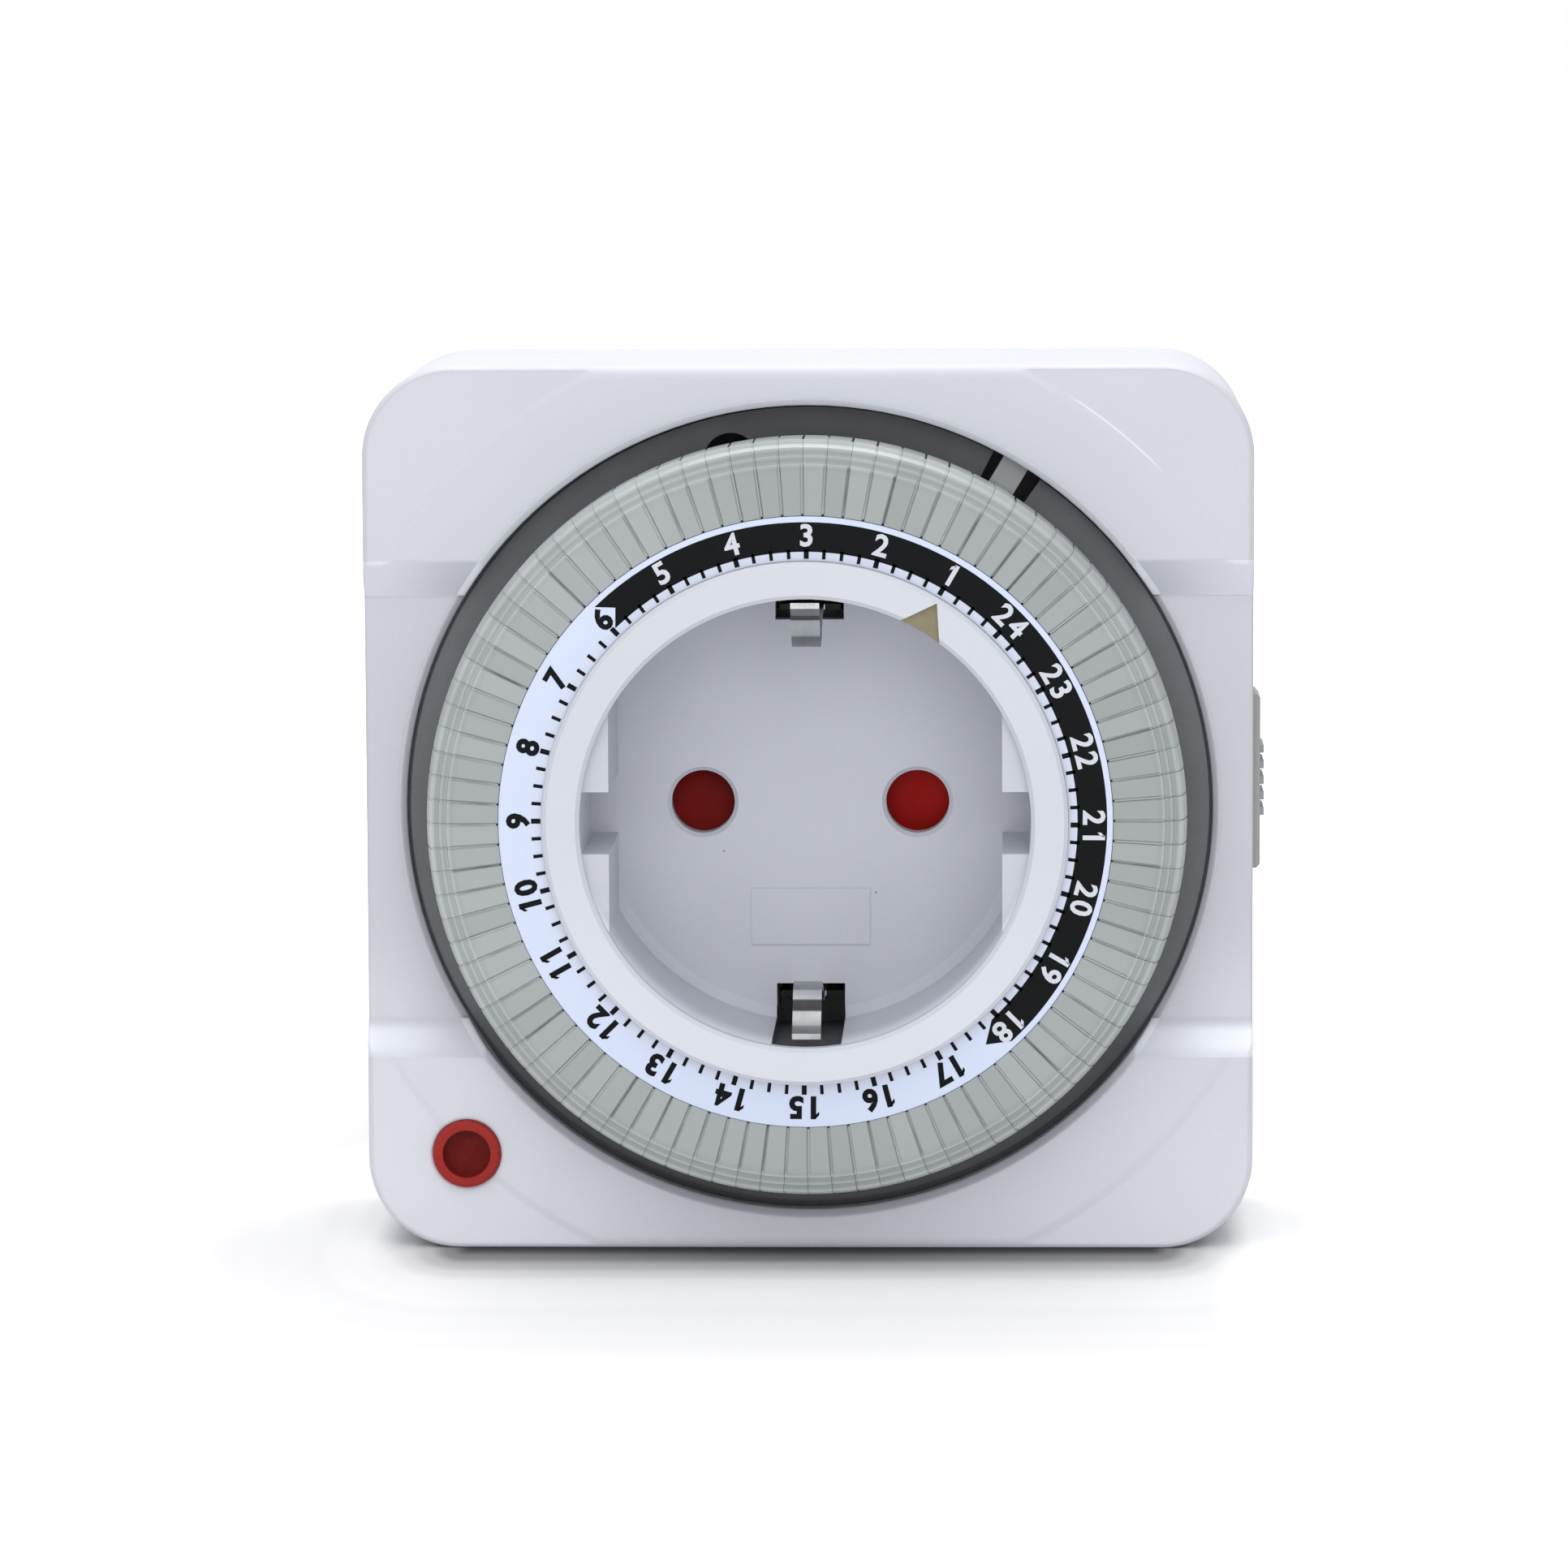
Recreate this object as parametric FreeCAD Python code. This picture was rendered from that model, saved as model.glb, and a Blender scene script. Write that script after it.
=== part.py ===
import FreeCAD, Part
import math
import os

# Mechanical 24-hour plug-in timer with a round-pin earthed socket in the middle of its dial.
# Millimetres. +Z is up, the dial faces -Y, and +Y points into the wall.
# The origin is the centre of the plug face, midway between the two pins.
# A level is a distance forward of the flat front face of the housing.
# A bearing is an angle in degrees, clockwise from the top as seen from the front.

# How far each cutting solid runs past what it cuts
overrun = 1.0

# Housing
housing_side = 78.0
housing_depth = 30.0
housing_corner_radius = 8.0
front_cover_depth = 22.0
side_wall = 2.0
front_wall = 2.2
rear_wall = 2.0
front_edge_rounding = 1.2
rear_edge_rounding = 1.5
parting_bevel = 0.25
opening_radius = 35.5
opening_bevel = 0.6
scoop_depth = 2.5
scoop_flat_half_height = 18.7
scoop_ramp_height = 3.2
shoulder_radius = 42.4
shoulder_ramp = 0.7
shoulder_drop = 0.3

# Cover screws and the posts that they join
upper_post_x = 33.4
upper_post_z = 33.4
lower_post_x = 21.5
lower_post_z = -34.0
front_post_radius = 2.6
rear_post_radius = 3.2
post_clearance = 0.3
cover_screw_radius = 1.2
cover_screw_length = 16.0
cover_screw_head_radius = 2.4
cover_screw_head_height = 1.6
counterbore_depth = 2.5
hole_clearance = 0.05
driver_slot_width = 0.6
driver_slot_depth = 0.7
driver_slot_share = 0.7

# Plug
pin_spacing = 19.0
pin_radius = 2.4
pin_length = 19.0
pin_seat_radius = 2.7
pin_flange_radius = 3.4
pin_flange_thickness = 1.0
pin_tail_radius = 2.0
live_tail_length = 4.5
boss_depth = 17.2
boss_radius = 18.5
boss_flat = 16.3
boss_rib_width = 4.9
boss_rib_reach = 18.4
boss_wall = 1.9
boss_end_wall = 3.5
boss_bevel = 0.8
boss_notch_width = 7.2
boss_notch_floor = 15.0
spigot_radius = 18.0
spigot_flat = 15.8

# Socket
recess_radius = 19.5
recess_depth = 17.5
recess_flat = 17.0
key_slot_width = 5.4
well_wall = 1.5
well_floor = 2.2
well_foot_level = -12.6
pin_hole_radius = 2.8
pin_hole_bevel = 0.35
earth_slot_width = 6.05
earth_slot_inner = 16.2
earth_slot_outer = 20.5
floor_pad_width = 10.5
floor_pad_height = 5.0
floor_pad_rise = 0.15
floor_pad_centre = -10.2
ear_reach = 25.5
ear_radius = 3.5
ear_thickness = 1.6
ear_bearings = (0.0, 120.0, 240.0)
small_post_radius = 2.6
small_screw_radius = 1.15
small_screw_length = 7.0
small_screw_head_radius = 2.1
small_screw_head_height = 1.2

# Collar round the socket and its pointer
rim_level = 11.0
collar_radius = 22.7
collar_thickness = 1.4
collar_rounding = 0.35
pointer_bearing = 30.8
pointer_half_angle = 8.4
pointer_tip_radius = 22.3
pointer_notch_depth = 0.9
pointer_thickness = 0.45

# Dial
dial_clearance = 0.1
sleeve_wall = 1.4
sleeve_front_gap = 0.2
label_drop = 1.5
label_thickness = 0.8
label_collar_gap = 0.15
label_width = 3.6
comb_radius = 30.9
comb_back_level = 2.4
comb_thickness = 2.2
comb_notch_width = 1.2
comb_notch_depth = 2.2
tab_count = 96
tabs_per_hour = 4
first_gap_bearing = -0.3
tab_gap_angle = 0.36
tab_label_gap = 0.15
tab_face_radius = 30.7
tab_outer_radius = 33.0
tab_face_drop = 1.6
tab_face_thickness = 1.5
tab_shoulder_level = 6.2
tab_end_clearance = 1.6
tab_skirt_thickness = 0.8
tab_underside_reach = 0.2
tab_travel = 3.0
tab_edge_bevel = 0.1
tab_terraces = ((0.35, 0.05), (0.45, 0.4), (1.04, 0.45), (1.14, 0.8), (1.73, 0.9), (2.0, 1.5))
foot_inner_radius = 29.2
foot_outer_radius = 31.0
foot_width = 1.0
foot_end_level = 0.3
foot_hook_width = 1.5
foot_hook_gap = 0.1
first_hour = 2

# Chassis plate under the dial
chassis_level = -3.6
chassis_disc_radius = 35.2
chassis_disc_thickness = 1.1
chassis_plate_thickness = 1.4
chassis_edge_gap = 0.3
sleeve_hole_gap = 0.4
window_start = 27.5
window_end = 35.3
window_inner_gap = 1.85
window_outer_gap = 1.8
peep_hole_radius = 2.4
peep_hole_reach = 31.25
peep_hole_bearing = -12.5
chassis_posts = ((0.0, 33.5), (33.5, -18.5), (0.0, -33.5), (-33.5, -18.5))
chassis_post_radius = 2.5

# Gear train
pressure_angle = 20.0
dial_gear_teeth = 96
idler_pinion_teeth = 16
dial_module = 0.5
idler_wheel_teeth = 30
motor_pinion_teeth = 12
motor_module = 0.4
dial_addendum = 0.9
motor_addendum = 0.8
dedendum = 1.15
tooth_play = 0.08
dial_gear_gap = 0.4
dial_gear_thickness = 2.2
idler_bearing = 285.0
idler_step_gap = 0.4
idler_pinion_width = 2.4
idler_wheel_thickness = 1.2
idler_hub_radius = 2.2
idler_foot_height = 0.7
arbor_radius = 0.8
running_clearance = 0.06
end_float = 0.2
arbor_seat = 3.0
arbor_post_radius = 2.2
motor_pinion_bearing = 10.3
motor_pinion_width = 1.8
motor_shaft_radius = 0.75
motor_shaft_seat = 4.0
motor_hub_radius = 1.5

# Motor
motor_x = -23.1
motor_z = 23.1
motor_radius = 11.2
motor_front_level = -13.0
motor_plate_thickness = 0.8
motor_ear_bearing = 46.9
motor_ear_reach = 14.65
motor_ear_radius = 2.6

# Safety shutter, its spring and the carrier that holds the contacts
shutter_gap = 0.3
shutter_thickness = 1.6
shutter_hub_radius = 3.2
shutter_arm_width = 4.4
shutter_pad_width = 6.7
shutter_reach = 12.9
shutter_ramp_drop = 1.2
shutter_pivot_radius = 1.5
carrier_flange = 0.8
carrier_level = -11.0
carrier_gap = 0.1
shroud_half_x = 4.9
shroud_half_z = 4.6
shroud_wall = 1.0
shroud_floor_gap = 1.2
contact_hole_radius = 3.1
spring_wire = 0.4
spring_radius = 2.7
spring_pocket_radius = 4.2
spring_pocket_depth = 0.8

# Socket contacts
leaf_thickness = 0.6
leaf_half_width = 3.0
contact_front_level = -13.8
contact_back_inset = 0.8
contact_mouth = 3.2
contact_pinch = 2.1
contact_body = 2.9
pinch_level = -16.6
pinch_flat = 1.0
contact_taper = 3.4

# Earth contacts
earth_thickness = 0.5
earth_clip_width = 2.5
earth_strip_width = 5.4
earth_strip_inner = 17.0
earth_foot_rise = 1.0
earth_clip_bends = ((18.5, 8.7), (17.1, 7.0), (15.2, 4.8), (14.7, 3.2), (15.0, 1.6), (16.75, -3.3))
earth_jog_front_level = -17.0
earth_jog_back_level = -22.0
earth_end_gap = 1.7
earth_hook_length = 2.4
earth_link_inner = 15.4
earth_link_thickness = 0.7
earth_link_inset = 0.5

# Switch with its follower lever
lever_bearing = 31.0
switch_left = -3.5
switch_right = 11.5
switch_inner_offset = 4.8
switch_outer_wall = 0.8
switch_front_level = -9.3
switch_depth = 10.0
switch_ear_thickness = 1.1
switch_button_reach = 1.7
switch_button_radius = 1.0
switch_button_inset = 0.5
switch_shelf_width = 2.0
switch_shelf_inset = 1.0
lever_width = 2.4
lever_thickness = 0.8
lever_pivot_offset = 3.0
lever_pivot_level = -7.6
lever_hub_radius = 1.0
lever_pin_radius = 0.5
lever_arm_run = 2.55
lever_flat_rise = 1.2
lever_nose_width = 1.4
lever_nose_inset = 0.35
lever_nose_height = 1.2
plunger_offset = 1.2
plunger_half_x = 1.0
plunger_half_z = 0.4
plunger_gap = 0.1
plunger_length = 3.2
plunger_room = 0.8

# Live bars
bar_thickness = 0.6
feed_bar_floor_gap = 0.4
feed_bar_width = 4.0
feed_riser_x = 13.2
feed_run_x = 22.4
feed_run_end = 28.8
outlet_bar_switch_gap = 0.7
outlet_bar_width = 2.6
outlet_run_x = 19.1
outlet_run_end = 28.2

# Override slider on the right-hand side
knob_length = 15.5
knob_width = 7.0
knob_thickness = 0.7
knob_rib_height = 0.35
knob_rib_width = 0.7
knob_rib_pitch = 1.39
knob_rib_count = 5
knob_rib_inset = 0.7
knob_centre_z = 1.7
knob_centre_level = -11.0
knob_travel = 5.0
slide_gap = 0.1
stem_length = 6.0
stem_width = 4.8
slot_gap = 0.3
bar_plate_thickness = 1.2
bar_low = -8.0
bar_high = 13.0
bar_arm_high = 24.0
bar_arm_width = 3.0
bar_nose_height = 2.2
bar_nose_x = 30.2

# Indicator lamp
lamp_x = -30.25
lamp_z = -30.45
lens_radius = 3.0
lens_bore = 2.1
lens_proud = 0.5
lens_rounding = 0.35
lens_floor_level = -1.0
lens_floor_thickness = 1.0
lens_flange_radius = 3.9
lens_flange_thickness = 1.0
lens_back_level = -8.0
bulb_radius = 1.9
bulb_gap = 0.3
bulb_rounding = 1.1
bulb_back_level = -14.5
lamp_post_radius = 2.4
resistor_radius = 1.2
resistor_length = 6.5
resistor_floor_gap = 4.0

# Insulated leads
lead_radius = 0.6
lead_floor_gap = 4.0
lead_bend = 2.0
lead_end_gap = 0.1
motor_lead_z = 20.5
neutral_lead_offset = 2.0
lamp_lead_z = -3.0

# Values worked out from the sizes above
rear_face_y = -boss_depth
front_y = rear_face_y - housing_depth
housing_half = housing_side / 2.0
cavity_half = housing_half - side_wall
floor_level = rear_wall - housing_depth
rear_level = -housing_depth
parting_level = -front_cover_depth
pin_x = pin_spacing / 2.0
recess_level = rim_level - recess_depth
recess_back_level = recess_level - well_floor
well_top_level = rim_level - collar_thickness
well_radius = recess_radius + well_wall
label_inner_radius = collar_radius + label_collar_gap
label_outer_radius = label_inner_radius + label_width
tab_inner_radius = label_outer_radius + tab_label_gap
label_level = rim_level - label_drop
tab_face_level = rim_level - tab_face_drop
tab_pitch = 360.0 / tab_count
tab_skirt_end_level = chassis_level + tab_travel + tab_end_clearance
sleeve_inner = well_radius + dial_clearance
sleeve_outer = sleeve_inner + sleeve_wall
chassis_base_level = chassis_level - chassis_disc_thickness
chassis_back_level = chassis_base_level - chassis_plate_thickness
dial_gear_level = chassis_back_level - dial_gear_gap
dial_gear_back_level = dial_gear_level - dial_gear_thickness
idler_distance = dial_module * (dial_gear_teeth + idler_pinion_teeth) / 2.0
motor_distance = motor_module * (idler_wheel_teeth + motor_pinion_teeth) / 2.0
idler_pinion_back_level = dial_gear_level - idler_pinion_width
idler_wheel_level = idler_pinion_back_level - idler_step_gap
idler_wheel_back_level = idler_wheel_level - idler_wheel_thickness
idler_foot_level = idler_wheel_back_level - idler_foot_height
arbor_post_level = idler_foot_level - end_float
shutter_level = recess_back_level - shutter_gap
shutter_back_level = shutter_level - shutter_thickness
earth_foot_level = recess_level + earth_foot_rise
carrier_back_level = well_foot_level - carrier_flange
switch_back_level = switch_front_level - switch_depth
lever_nose_reach = tab_outer_radius - lever_nose_inset
lever_upright_reach = lever_nose_reach + lever_arm_run
plunger_reach = lever_upright_reach + plunger_offset
lever_pivot_reach = plunger_reach + lever_pivot_offset
switch_inner = plunger_reach - switch_inner_offset
switch_outer = lever_pivot_reach + switch_outer_wall
lever_flat_level = chassis_level + lever_flat_rise
lever_nose_level = lever_flat_level + lever_nose_height
window_inner_radius = lever_nose_reach - window_inner_gap
window_outer_radius = lever_upright_reach + window_outer_gap
feed_bar_level = floor_level + feed_bar_floor_gap
outlet_bar_level = switch_back_level - outlet_bar_switch_gap
shroud_end_level = floor_level + shroud_floor_gap
contact_back_level = shroud_end_level + contact_back_inset
lead_level = floor_level + lead_floor_gap
resistor_back_level = floor_level + resistor_floor_gap


def y_at(level):
    return front_y - level


def at(x, level, z):
    return FreeCAD.Vector(x, y_at(level), z)


def polar(radius, bearing):
    turn = math.radians(bearing)
    return radius * math.sin(turn), radius * math.cos(turn)


def block(x0, x1, back, front, z0, z1):
    return Part.makeBox(x1 - x0, front - back, z1 - z0, at(x0, front, z0))


def disc(radius, back, front, x=0.0, z=0.0):
    return Part.makeCylinder(radius, front - back, at(x, front, z), FreeCAD.Vector(0, 1, 0))


def ring(outer, inner, back, front, x=0.0, z=0.0):
    return disc(outer, back, front, x, z).cut(disc(inner, back - overrun, front + overrun, x, z))


def cone(back_radius, front_radius, back, front, x=0.0, z=0.0):
    return Part.makeCone(front_radius, back_radius, front - back, at(x, front, z), FreeCAD.Vector(0, 1, 0))


def turned(points, sweep=360.0, start=90.0):
    # Points are (radius, level) pairs, swept clockwise about the dial axis from a bearing.
    corners = [at(radius, level, 0.0) for radius, level in points]
    face = Part.Face(Part.makePolygon(corners + corners[:1]))
    solid = face.revolve(FreeCAD.Vector(0, 0, 0), FreeCAD.Vector(0, 1, 0), sweep)
    return turn(solid, start - 90.0)


def turn(shape, bearing):
    copy = shape.copy()
    copy.rotate(FreeCAD.Vector(0, 0, 0), FreeCAD.Vector(0, 1, 0), bearing)
    return copy


def side_profile(points, x0, x1):
    # Points are (z, level) pairs, drawn out sideways from x0 to x1.
    corners = [at(x0, level, z) for z, level in points]
    face = Part.Face(Part.makePolygon(corners + corners[:1]))
    return face.extrude(FreeCAD.Vector(x1 - x0, 0, 0))


def top_profile(points, z0, z1):
    # Points are (x, level) pairs, drawn out upwards from z0 to z1.
    corners = [at(x, level, z0) for x, level in points]
    face = Part.Face(Part.makePolygon(corners + corners[:1]))
    return face.extrude(FreeCAD.Vector(0, 0, z1 - z0))


def rounded_slab(half, radius, back, front):
    slab = block(-half, half, back, front, -half, half)
    corners = [edge for edge in slab.Edges if abs(edge.tangentAt(edge.FirstParameter).y) > 0.9]
    return slab.makeFillet(radius, corners)


def outer_edges_at(shape, level):
    # The edges of a housing half that run round its outline at one level.
    found = []
    for edge in shape.Edges:
        box = edge.BoundBox
        flat = abs(box.YMin - y_at(level)) < 0.001 and abs(box.YMax - y_at(level)) < 0.001
        if flat and max(abs(box.XMax), abs(box.XMin), abs(box.ZMax), abs(box.ZMin)) > housing_half - 0.01:
            found.append(edge)
    return found


def mirrored(shape, across):
    return shape.mirror(FreeCAD.Vector(0, 0, 0), across)


def save(name, *solids):
    shape = solids[0] if len(solids) == 1 else Part.makeCompound(list(solids))
    shape.exportStep("parts/" + name + ".step")


# Housing

def cover_post_places():
    places = []
    for side in (-1, 1):
        places.append((side * upper_post_x, upper_post_z))
        places.append((side * lower_post_x, lower_post_z))
    return places


def scoop(depth_from, depth, spread):
    # The band across the front face, with a ramp above and below its flat floor.
    low = scoop_flat_half_height + spread
    high = low + scoop_ramp_height
    top = depth_from + scoop_depth
    reach = high + scoop_ramp_height
    points = [(-low, depth), (low, depth), (high, depth_from), (reach, top), (-reach, top),
              (-high, depth_from)]
    return side_profile(points, -housing_side, housing_side)


def front_cover():
    body = rounded_slab(housing_half, housing_corner_radius, parting_level, 0.0)
    body = body.makeFillet(front_edge_rounding, outer_edges_at(body, 0.0))
    body = body.makeChamfer(parting_bevel, outer_edges_at(body, parting_level))
    lowered = turned([(shoulder_radius, 0.0), (shoulder_radius + shoulder_ramp, -shoulder_drop),
                      (housing_side, -shoulder_drop), (housing_side, overrun), (shoulder_radius, overrun)])
    body = body.cut(lowered).cut(scoop(0.0, -scoop_depth, 0.0))
    cavity_radius = housing_corner_radius - side_wall
    cavity = rounded_slab(cavity_half, cavity_radius, parting_level - overrun, -front_wall)
    backing = scoop(-front_wall, -front_wall - scoop_depth, side_wall / 2.0)
    body = body.cut(cavity.cut(backing))
    for x, z in cover_post_places():
        post = disc(front_post_radius, parting_level, -front_wall, x, z)
        pilot = disc(cover_screw_radius + hole_clearance, parting_level - overrun,
                     parting_level + cover_screw_length, x, z)
        body = body.fuse(post).cut(pilot)
    body = body.cut(disc(opening_radius, -housing_depth, overrun))
    for level in (0.0, -scoop_depth):
        bevel = cone(opening_radius, opening_radius + opening_bevel, level - opening_bevel, level)
        half = housing_side if level == 0.0 else scoop_flat_half_height
        body = body.cut(bevel.common(block(-housing_side, housing_side, level - overrun, level, -half,
                                           half)))
    lens_hole = disc(lens_radius + hole_clearance, -front_wall - overrun, overrun, lamp_x, lamp_z)
    slot_half = (stem_length + knob_travel) / 2.0 + slot_gap
    slot_middle = knob_centre_z - knob_travel / 2.0
    slot_back = knob_centre_level - stem_width / 2.0 - slot_gap
    slot_front = knob_centre_level + stem_width / 2.0 + slot_gap
    slot = block(cavity_half - overrun, housing_side, slot_back, slot_front, slot_middle - slot_half,
                 slot_middle + slot_half)
    return body.cut(lens_hole).cut(slot).removeSplitter()


def boss_outline(radius, flat, back, front):
    return disc(radius, back, front).common(block(-flat, flat, back, front, -radius, radius))


def rear_cover():
    body = rounded_slab(housing_half, housing_corner_radius, rear_level, parting_level)
    body = body.makeFillet(rear_edge_rounding, outer_edges_at(body, rear_level))
    body = body.makeChamfer(parting_bevel, outer_edges_at(body, parting_level))
    cavity_radius = housing_corner_radius - side_wall
    body = body.cut(rounded_slab(cavity_half, cavity_radius, floor_level, parting_level + overrun))
    spigot_hole = boss_outline(spigot_radius + hole_clearance, spigot_flat + hole_clearance,
                               rear_level - overrun, floor_level + overrun)
    body = body.cut(spigot_hole)
    posts = [(x, z, rear_post_radius, parting_level) for x, z in cover_post_places()]
    posts += [(x, z, chassis_post_radius, chassis_back_level) for x, z in chassis_posts]
    posts += [polar(ear_reach, bearing) + (small_post_radius, well_foot_level) for bearing in ear_bearings]
    posts += [place + (motor_ear_radius, motor_front_level) for place in motor_ear_places()]
    posts.append(polar(idler_distance, idler_bearing) + (arbor_post_radius, arbor_post_level))
    posts.append((lamp_x, lamp_z, lamp_post_radius, bulb_back_level))
    for x, z, radius, top in posts:
        body = body.fuse(disc(radius, floor_level - rear_wall / 2.0, top, x, z))
    for left in (switch_left, switch_right - switch_shelf_width):
        shelf = block(left, left + switch_shelf_width, floor_level - rear_wall / 2.0, switch_back_level,
                      switch_inner + switch_shelf_inset, switch_outer - switch_shelf_inset)
        body = body.fuse(turn(shelf, lever_bearing))
    for x, z in cover_post_places():
        body = body.cut(disc(cover_screw_head_radius + post_clearance, rear_level - overrun,
                             rear_level + counterbore_depth, x, z))
        body = body.cut(disc(cover_screw_radius + hole_clearance, rear_level, parting_level + overrun, x,
                             z))
    for x, z, top in small_screw_places():
        hole = disc(small_screw_radius + hole_clearance, top - small_screw_length - overrun,
                    top + overrun, x, z)
        body = body.cut(hole)
    x, z = polar(idler_distance, idler_bearing)
    body = body.cut(disc(arbor_radius + hole_clearance, arbor_post_level - arbor_seat,
                         arbor_post_level + overrun, x, z))
    return body.removeSplitter()


def plug_body():
    # The plug's moulding, whose spigot sits in the rear wall of the housing.
    face_level = rear_level - boss_depth
    boss = boss_outline(boss_radius, boss_flat, face_level, rear_level)
    rib = disc(boss_rib_reach, face_level, rear_level)
    rib = rib.common(block(-boss_radius, boss_radius, face_level, rear_level, -boss_rib_width / 2.0,
                           boss_rib_width / 2.0))
    boss = boss.fuse(rib)
    nose = cone(boss_radius - boss_bevel, boss_radius, face_level, face_level + boss_bevel)
    boss = boss.common(nose.fuse(disc(boss_radius, face_level + boss_bevel, rear_level)))
    half_notch = boss_notch_width / 2.0
    for side in (-1, 1):
        low, high = sorted((side * boss_notch_floor, side * (boss_radius + overrun)))
        boss = boss.cut(block(-half_notch, half_notch, face_level - overrun, rear_level, low, high))
    body = boss.fuse(boss_outline(spigot_radius, spigot_flat, rear_level, floor_level))
    hollow_z = boss_notch_floor - boss_wall
    hollow = boss_outline(boss_radius - boss_wall, spigot_flat - boss_wall, face_level + boss_end_wall,
                          floor_level + overrun)
    hollow = hollow.common(block(-boss_radius, boss_radius, face_level, floor_level + overrun, -hollow_z,
                                 hollow_z))
    body = body.cut(hollow)
    for side in (-1, 1):
        body = body.cut(disc(pin_seat_radius + hole_clearance, face_level - overrun,
                             face_level + boss_end_wall + overrun, side * pin_x))
        body = body.cut(earth_passages(side))
    return body.removeSplitter()


def earth_passages(side):
    # The slot through the rear wall, and the small slot near the plug face that takes the hook.
    half = earth_strip_width / 2.0 + hole_clearance
    far = boss_notch_floor + earth_thickness + 2.0 * hole_clearance
    low, high = sorted((side * boss_notch_floor, side * far))
    slot = block(-half, half, rear_level - overrun, floor_level + overrun, low, high)
    hook_level = rear_level - boss_depth + earth_end_gap
    low, high = sorted((side * (boss_notch_floor - boss_wall - overrun), side * far))
    back = hook_level - hole_clearance
    front = hook_level + earth_thickness + hole_clearance
    return slot.fuse(block(-half, half, back, front, low, high))


def screw(x, z, seat, radius, length, head_radius, head_height, forward):
    # A cross-slotted screw whose head sits on a face at one level; forward is 1 for a head in front.
    tip = seat - forward * length
    top = seat + forward * head_height
    shank = disc(radius, min(seat, tip), max(seat, tip), x, z)
    head = disc(head_radius, min(seat, top), max(seat, top), x, z)
    slot_end = top - forward * driver_slot_depth
    back, front = min(top, slot_end), max(top, slot_end)
    reach = head_radius * driver_slot_share
    half = driver_slot_width / 2.0
    cross = block(x - reach, x + reach, back, front, z - half, z + half)
    cross = cross.fuse(block(x - half, x + half, back, front, z - reach, z + reach))
    return shank.fuse(head).cut(cross)


def cover_screws():
    seat = rear_level + counterbore_depth
    return [screw(x, z, seat, cover_screw_radius, cover_screw_length, cover_screw_head_radius,
                  cover_screw_head_height, -1) for x, z in cover_post_places()]


def motor_ear_places():
    x, z = polar(motor_ear_reach, motor_ear_bearing)
    return [(motor_x + x, motor_z + z), (motor_x - x, motor_z - z)]


def small_screw_places():
    places = [polar(ear_reach, bearing) + (well_foot_level,) for bearing in ear_bearings]
    return places + [(x, z, motor_front_level) for x, z in motor_ear_places()]


def inner_screws():
    # Three that hold the socket well and two that hold the motor.
    seats = [place + (well_foot_level + ear_thickness,) for place in
             [polar(ear_reach, bearing) for bearing in ear_bearings]]
    seats += [place + (motor_front_level + motor_plate_thickness,) for place in motor_ear_places()]
    return [screw(x, z, seat, small_screw_radius, small_screw_length, small_screw_head_radius,
                  small_screw_head_height, 1) for x, z, seat in seats]


# Socket

def recess_space(back, front):
    space = boss_outline(recess_radius, recess_flat, back, front)
    half = key_slot_width / 2.0
    slot = disc(recess_radius, back, front).common(block(-recess_radius, recess_radius, back, front,
                                                         -half, half))
    return space.fuse(slot)


def socket_well():
    body = disc(well_radius, well_foot_level, well_top_level)
    body = body.cut(recess_space(recess_level, well_top_level + overrun))
    body = body.cut(disc(recess_radius - carrier_gap, well_foot_level - overrun, recess_back_level))
    pad_low = floor_pad_centre - floor_pad_height / 2.0
    pad = block(-floor_pad_width / 2.0, floor_pad_width / 2.0, recess_level, recess_level + floor_pad_rise,
                pad_low, pad_low + floor_pad_height)
    body = body.fuse(pad)
    for side in (-1, 1):
        hole = disc(pin_hole_radius, recess_back_level - overrun, recess_level + overrun, side * pin_x)
        bevel = cone(pin_hole_radius, pin_hole_radius + pin_hole_bevel, recess_level - pin_hole_bevel,
                     recess_level, side * pin_x)
        low, high = sorted((side * earth_slot_inner, side * earth_slot_outer))
        half = earth_slot_width / 2.0
        slot = block(-half, half, well_foot_level - overrun, well_top_level + overrun, low, high)
        body = body.cut(hole).cut(bevel).cut(slot)
    for bearing in ear_bearings:
        top = well_foot_level + ear_thickness
        ear = block(-ear_radius, ear_radius, well_foot_level, top, earth_slot_outer, ear_reach)
        ear = ear.fuse(disc(ear_radius, well_foot_level, top, 0.0, ear_reach))
        ear = ear.cut(disc(small_screw_radius + hole_clearance, well_foot_level - overrun, top + overrun,
                           0.0, ear_reach))
        body = body.fuse(turn(ear, bearing))
    return body.removeSplitter()


def pointer_wedge(back, front):
    left = polar(recess_radius - overrun, pointer_bearing - pointer_half_angle)
    right = polar(recess_radius - overrun, pointer_bearing + pointer_half_angle)
    tip = polar(pointer_tip_radius, pointer_bearing)
    corners = [at(x, back, z) for x, z in (left, tip, right)]
    face = Part.Face(Part.makePolygon(corners + corners[:1]))
    return face.extrude(FreeCAD.Vector(0, back - front, 0)).cut(disc(recess_radius, back - overrun,
                                                                     front + overrun))


def collar_ring():
    soft = collar_rounding
    profile = [(recess_radius, well_top_level), (collar_radius, well_top_level),
               (collar_radius, rim_level - soft), (collar_radius - soft, rim_level),
               (recess_radius + soft, rim_level), (recess_radius, rim_level - soft)]
    return turned(profile).cut(pointer_wedge(rim_level - pointer_notch_depth, rim_level + overrun))


def time_pointer():
    back = rim_level - pointer_notch_depth
    return pointer_wedge(back, back + pointer_thickness)


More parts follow.
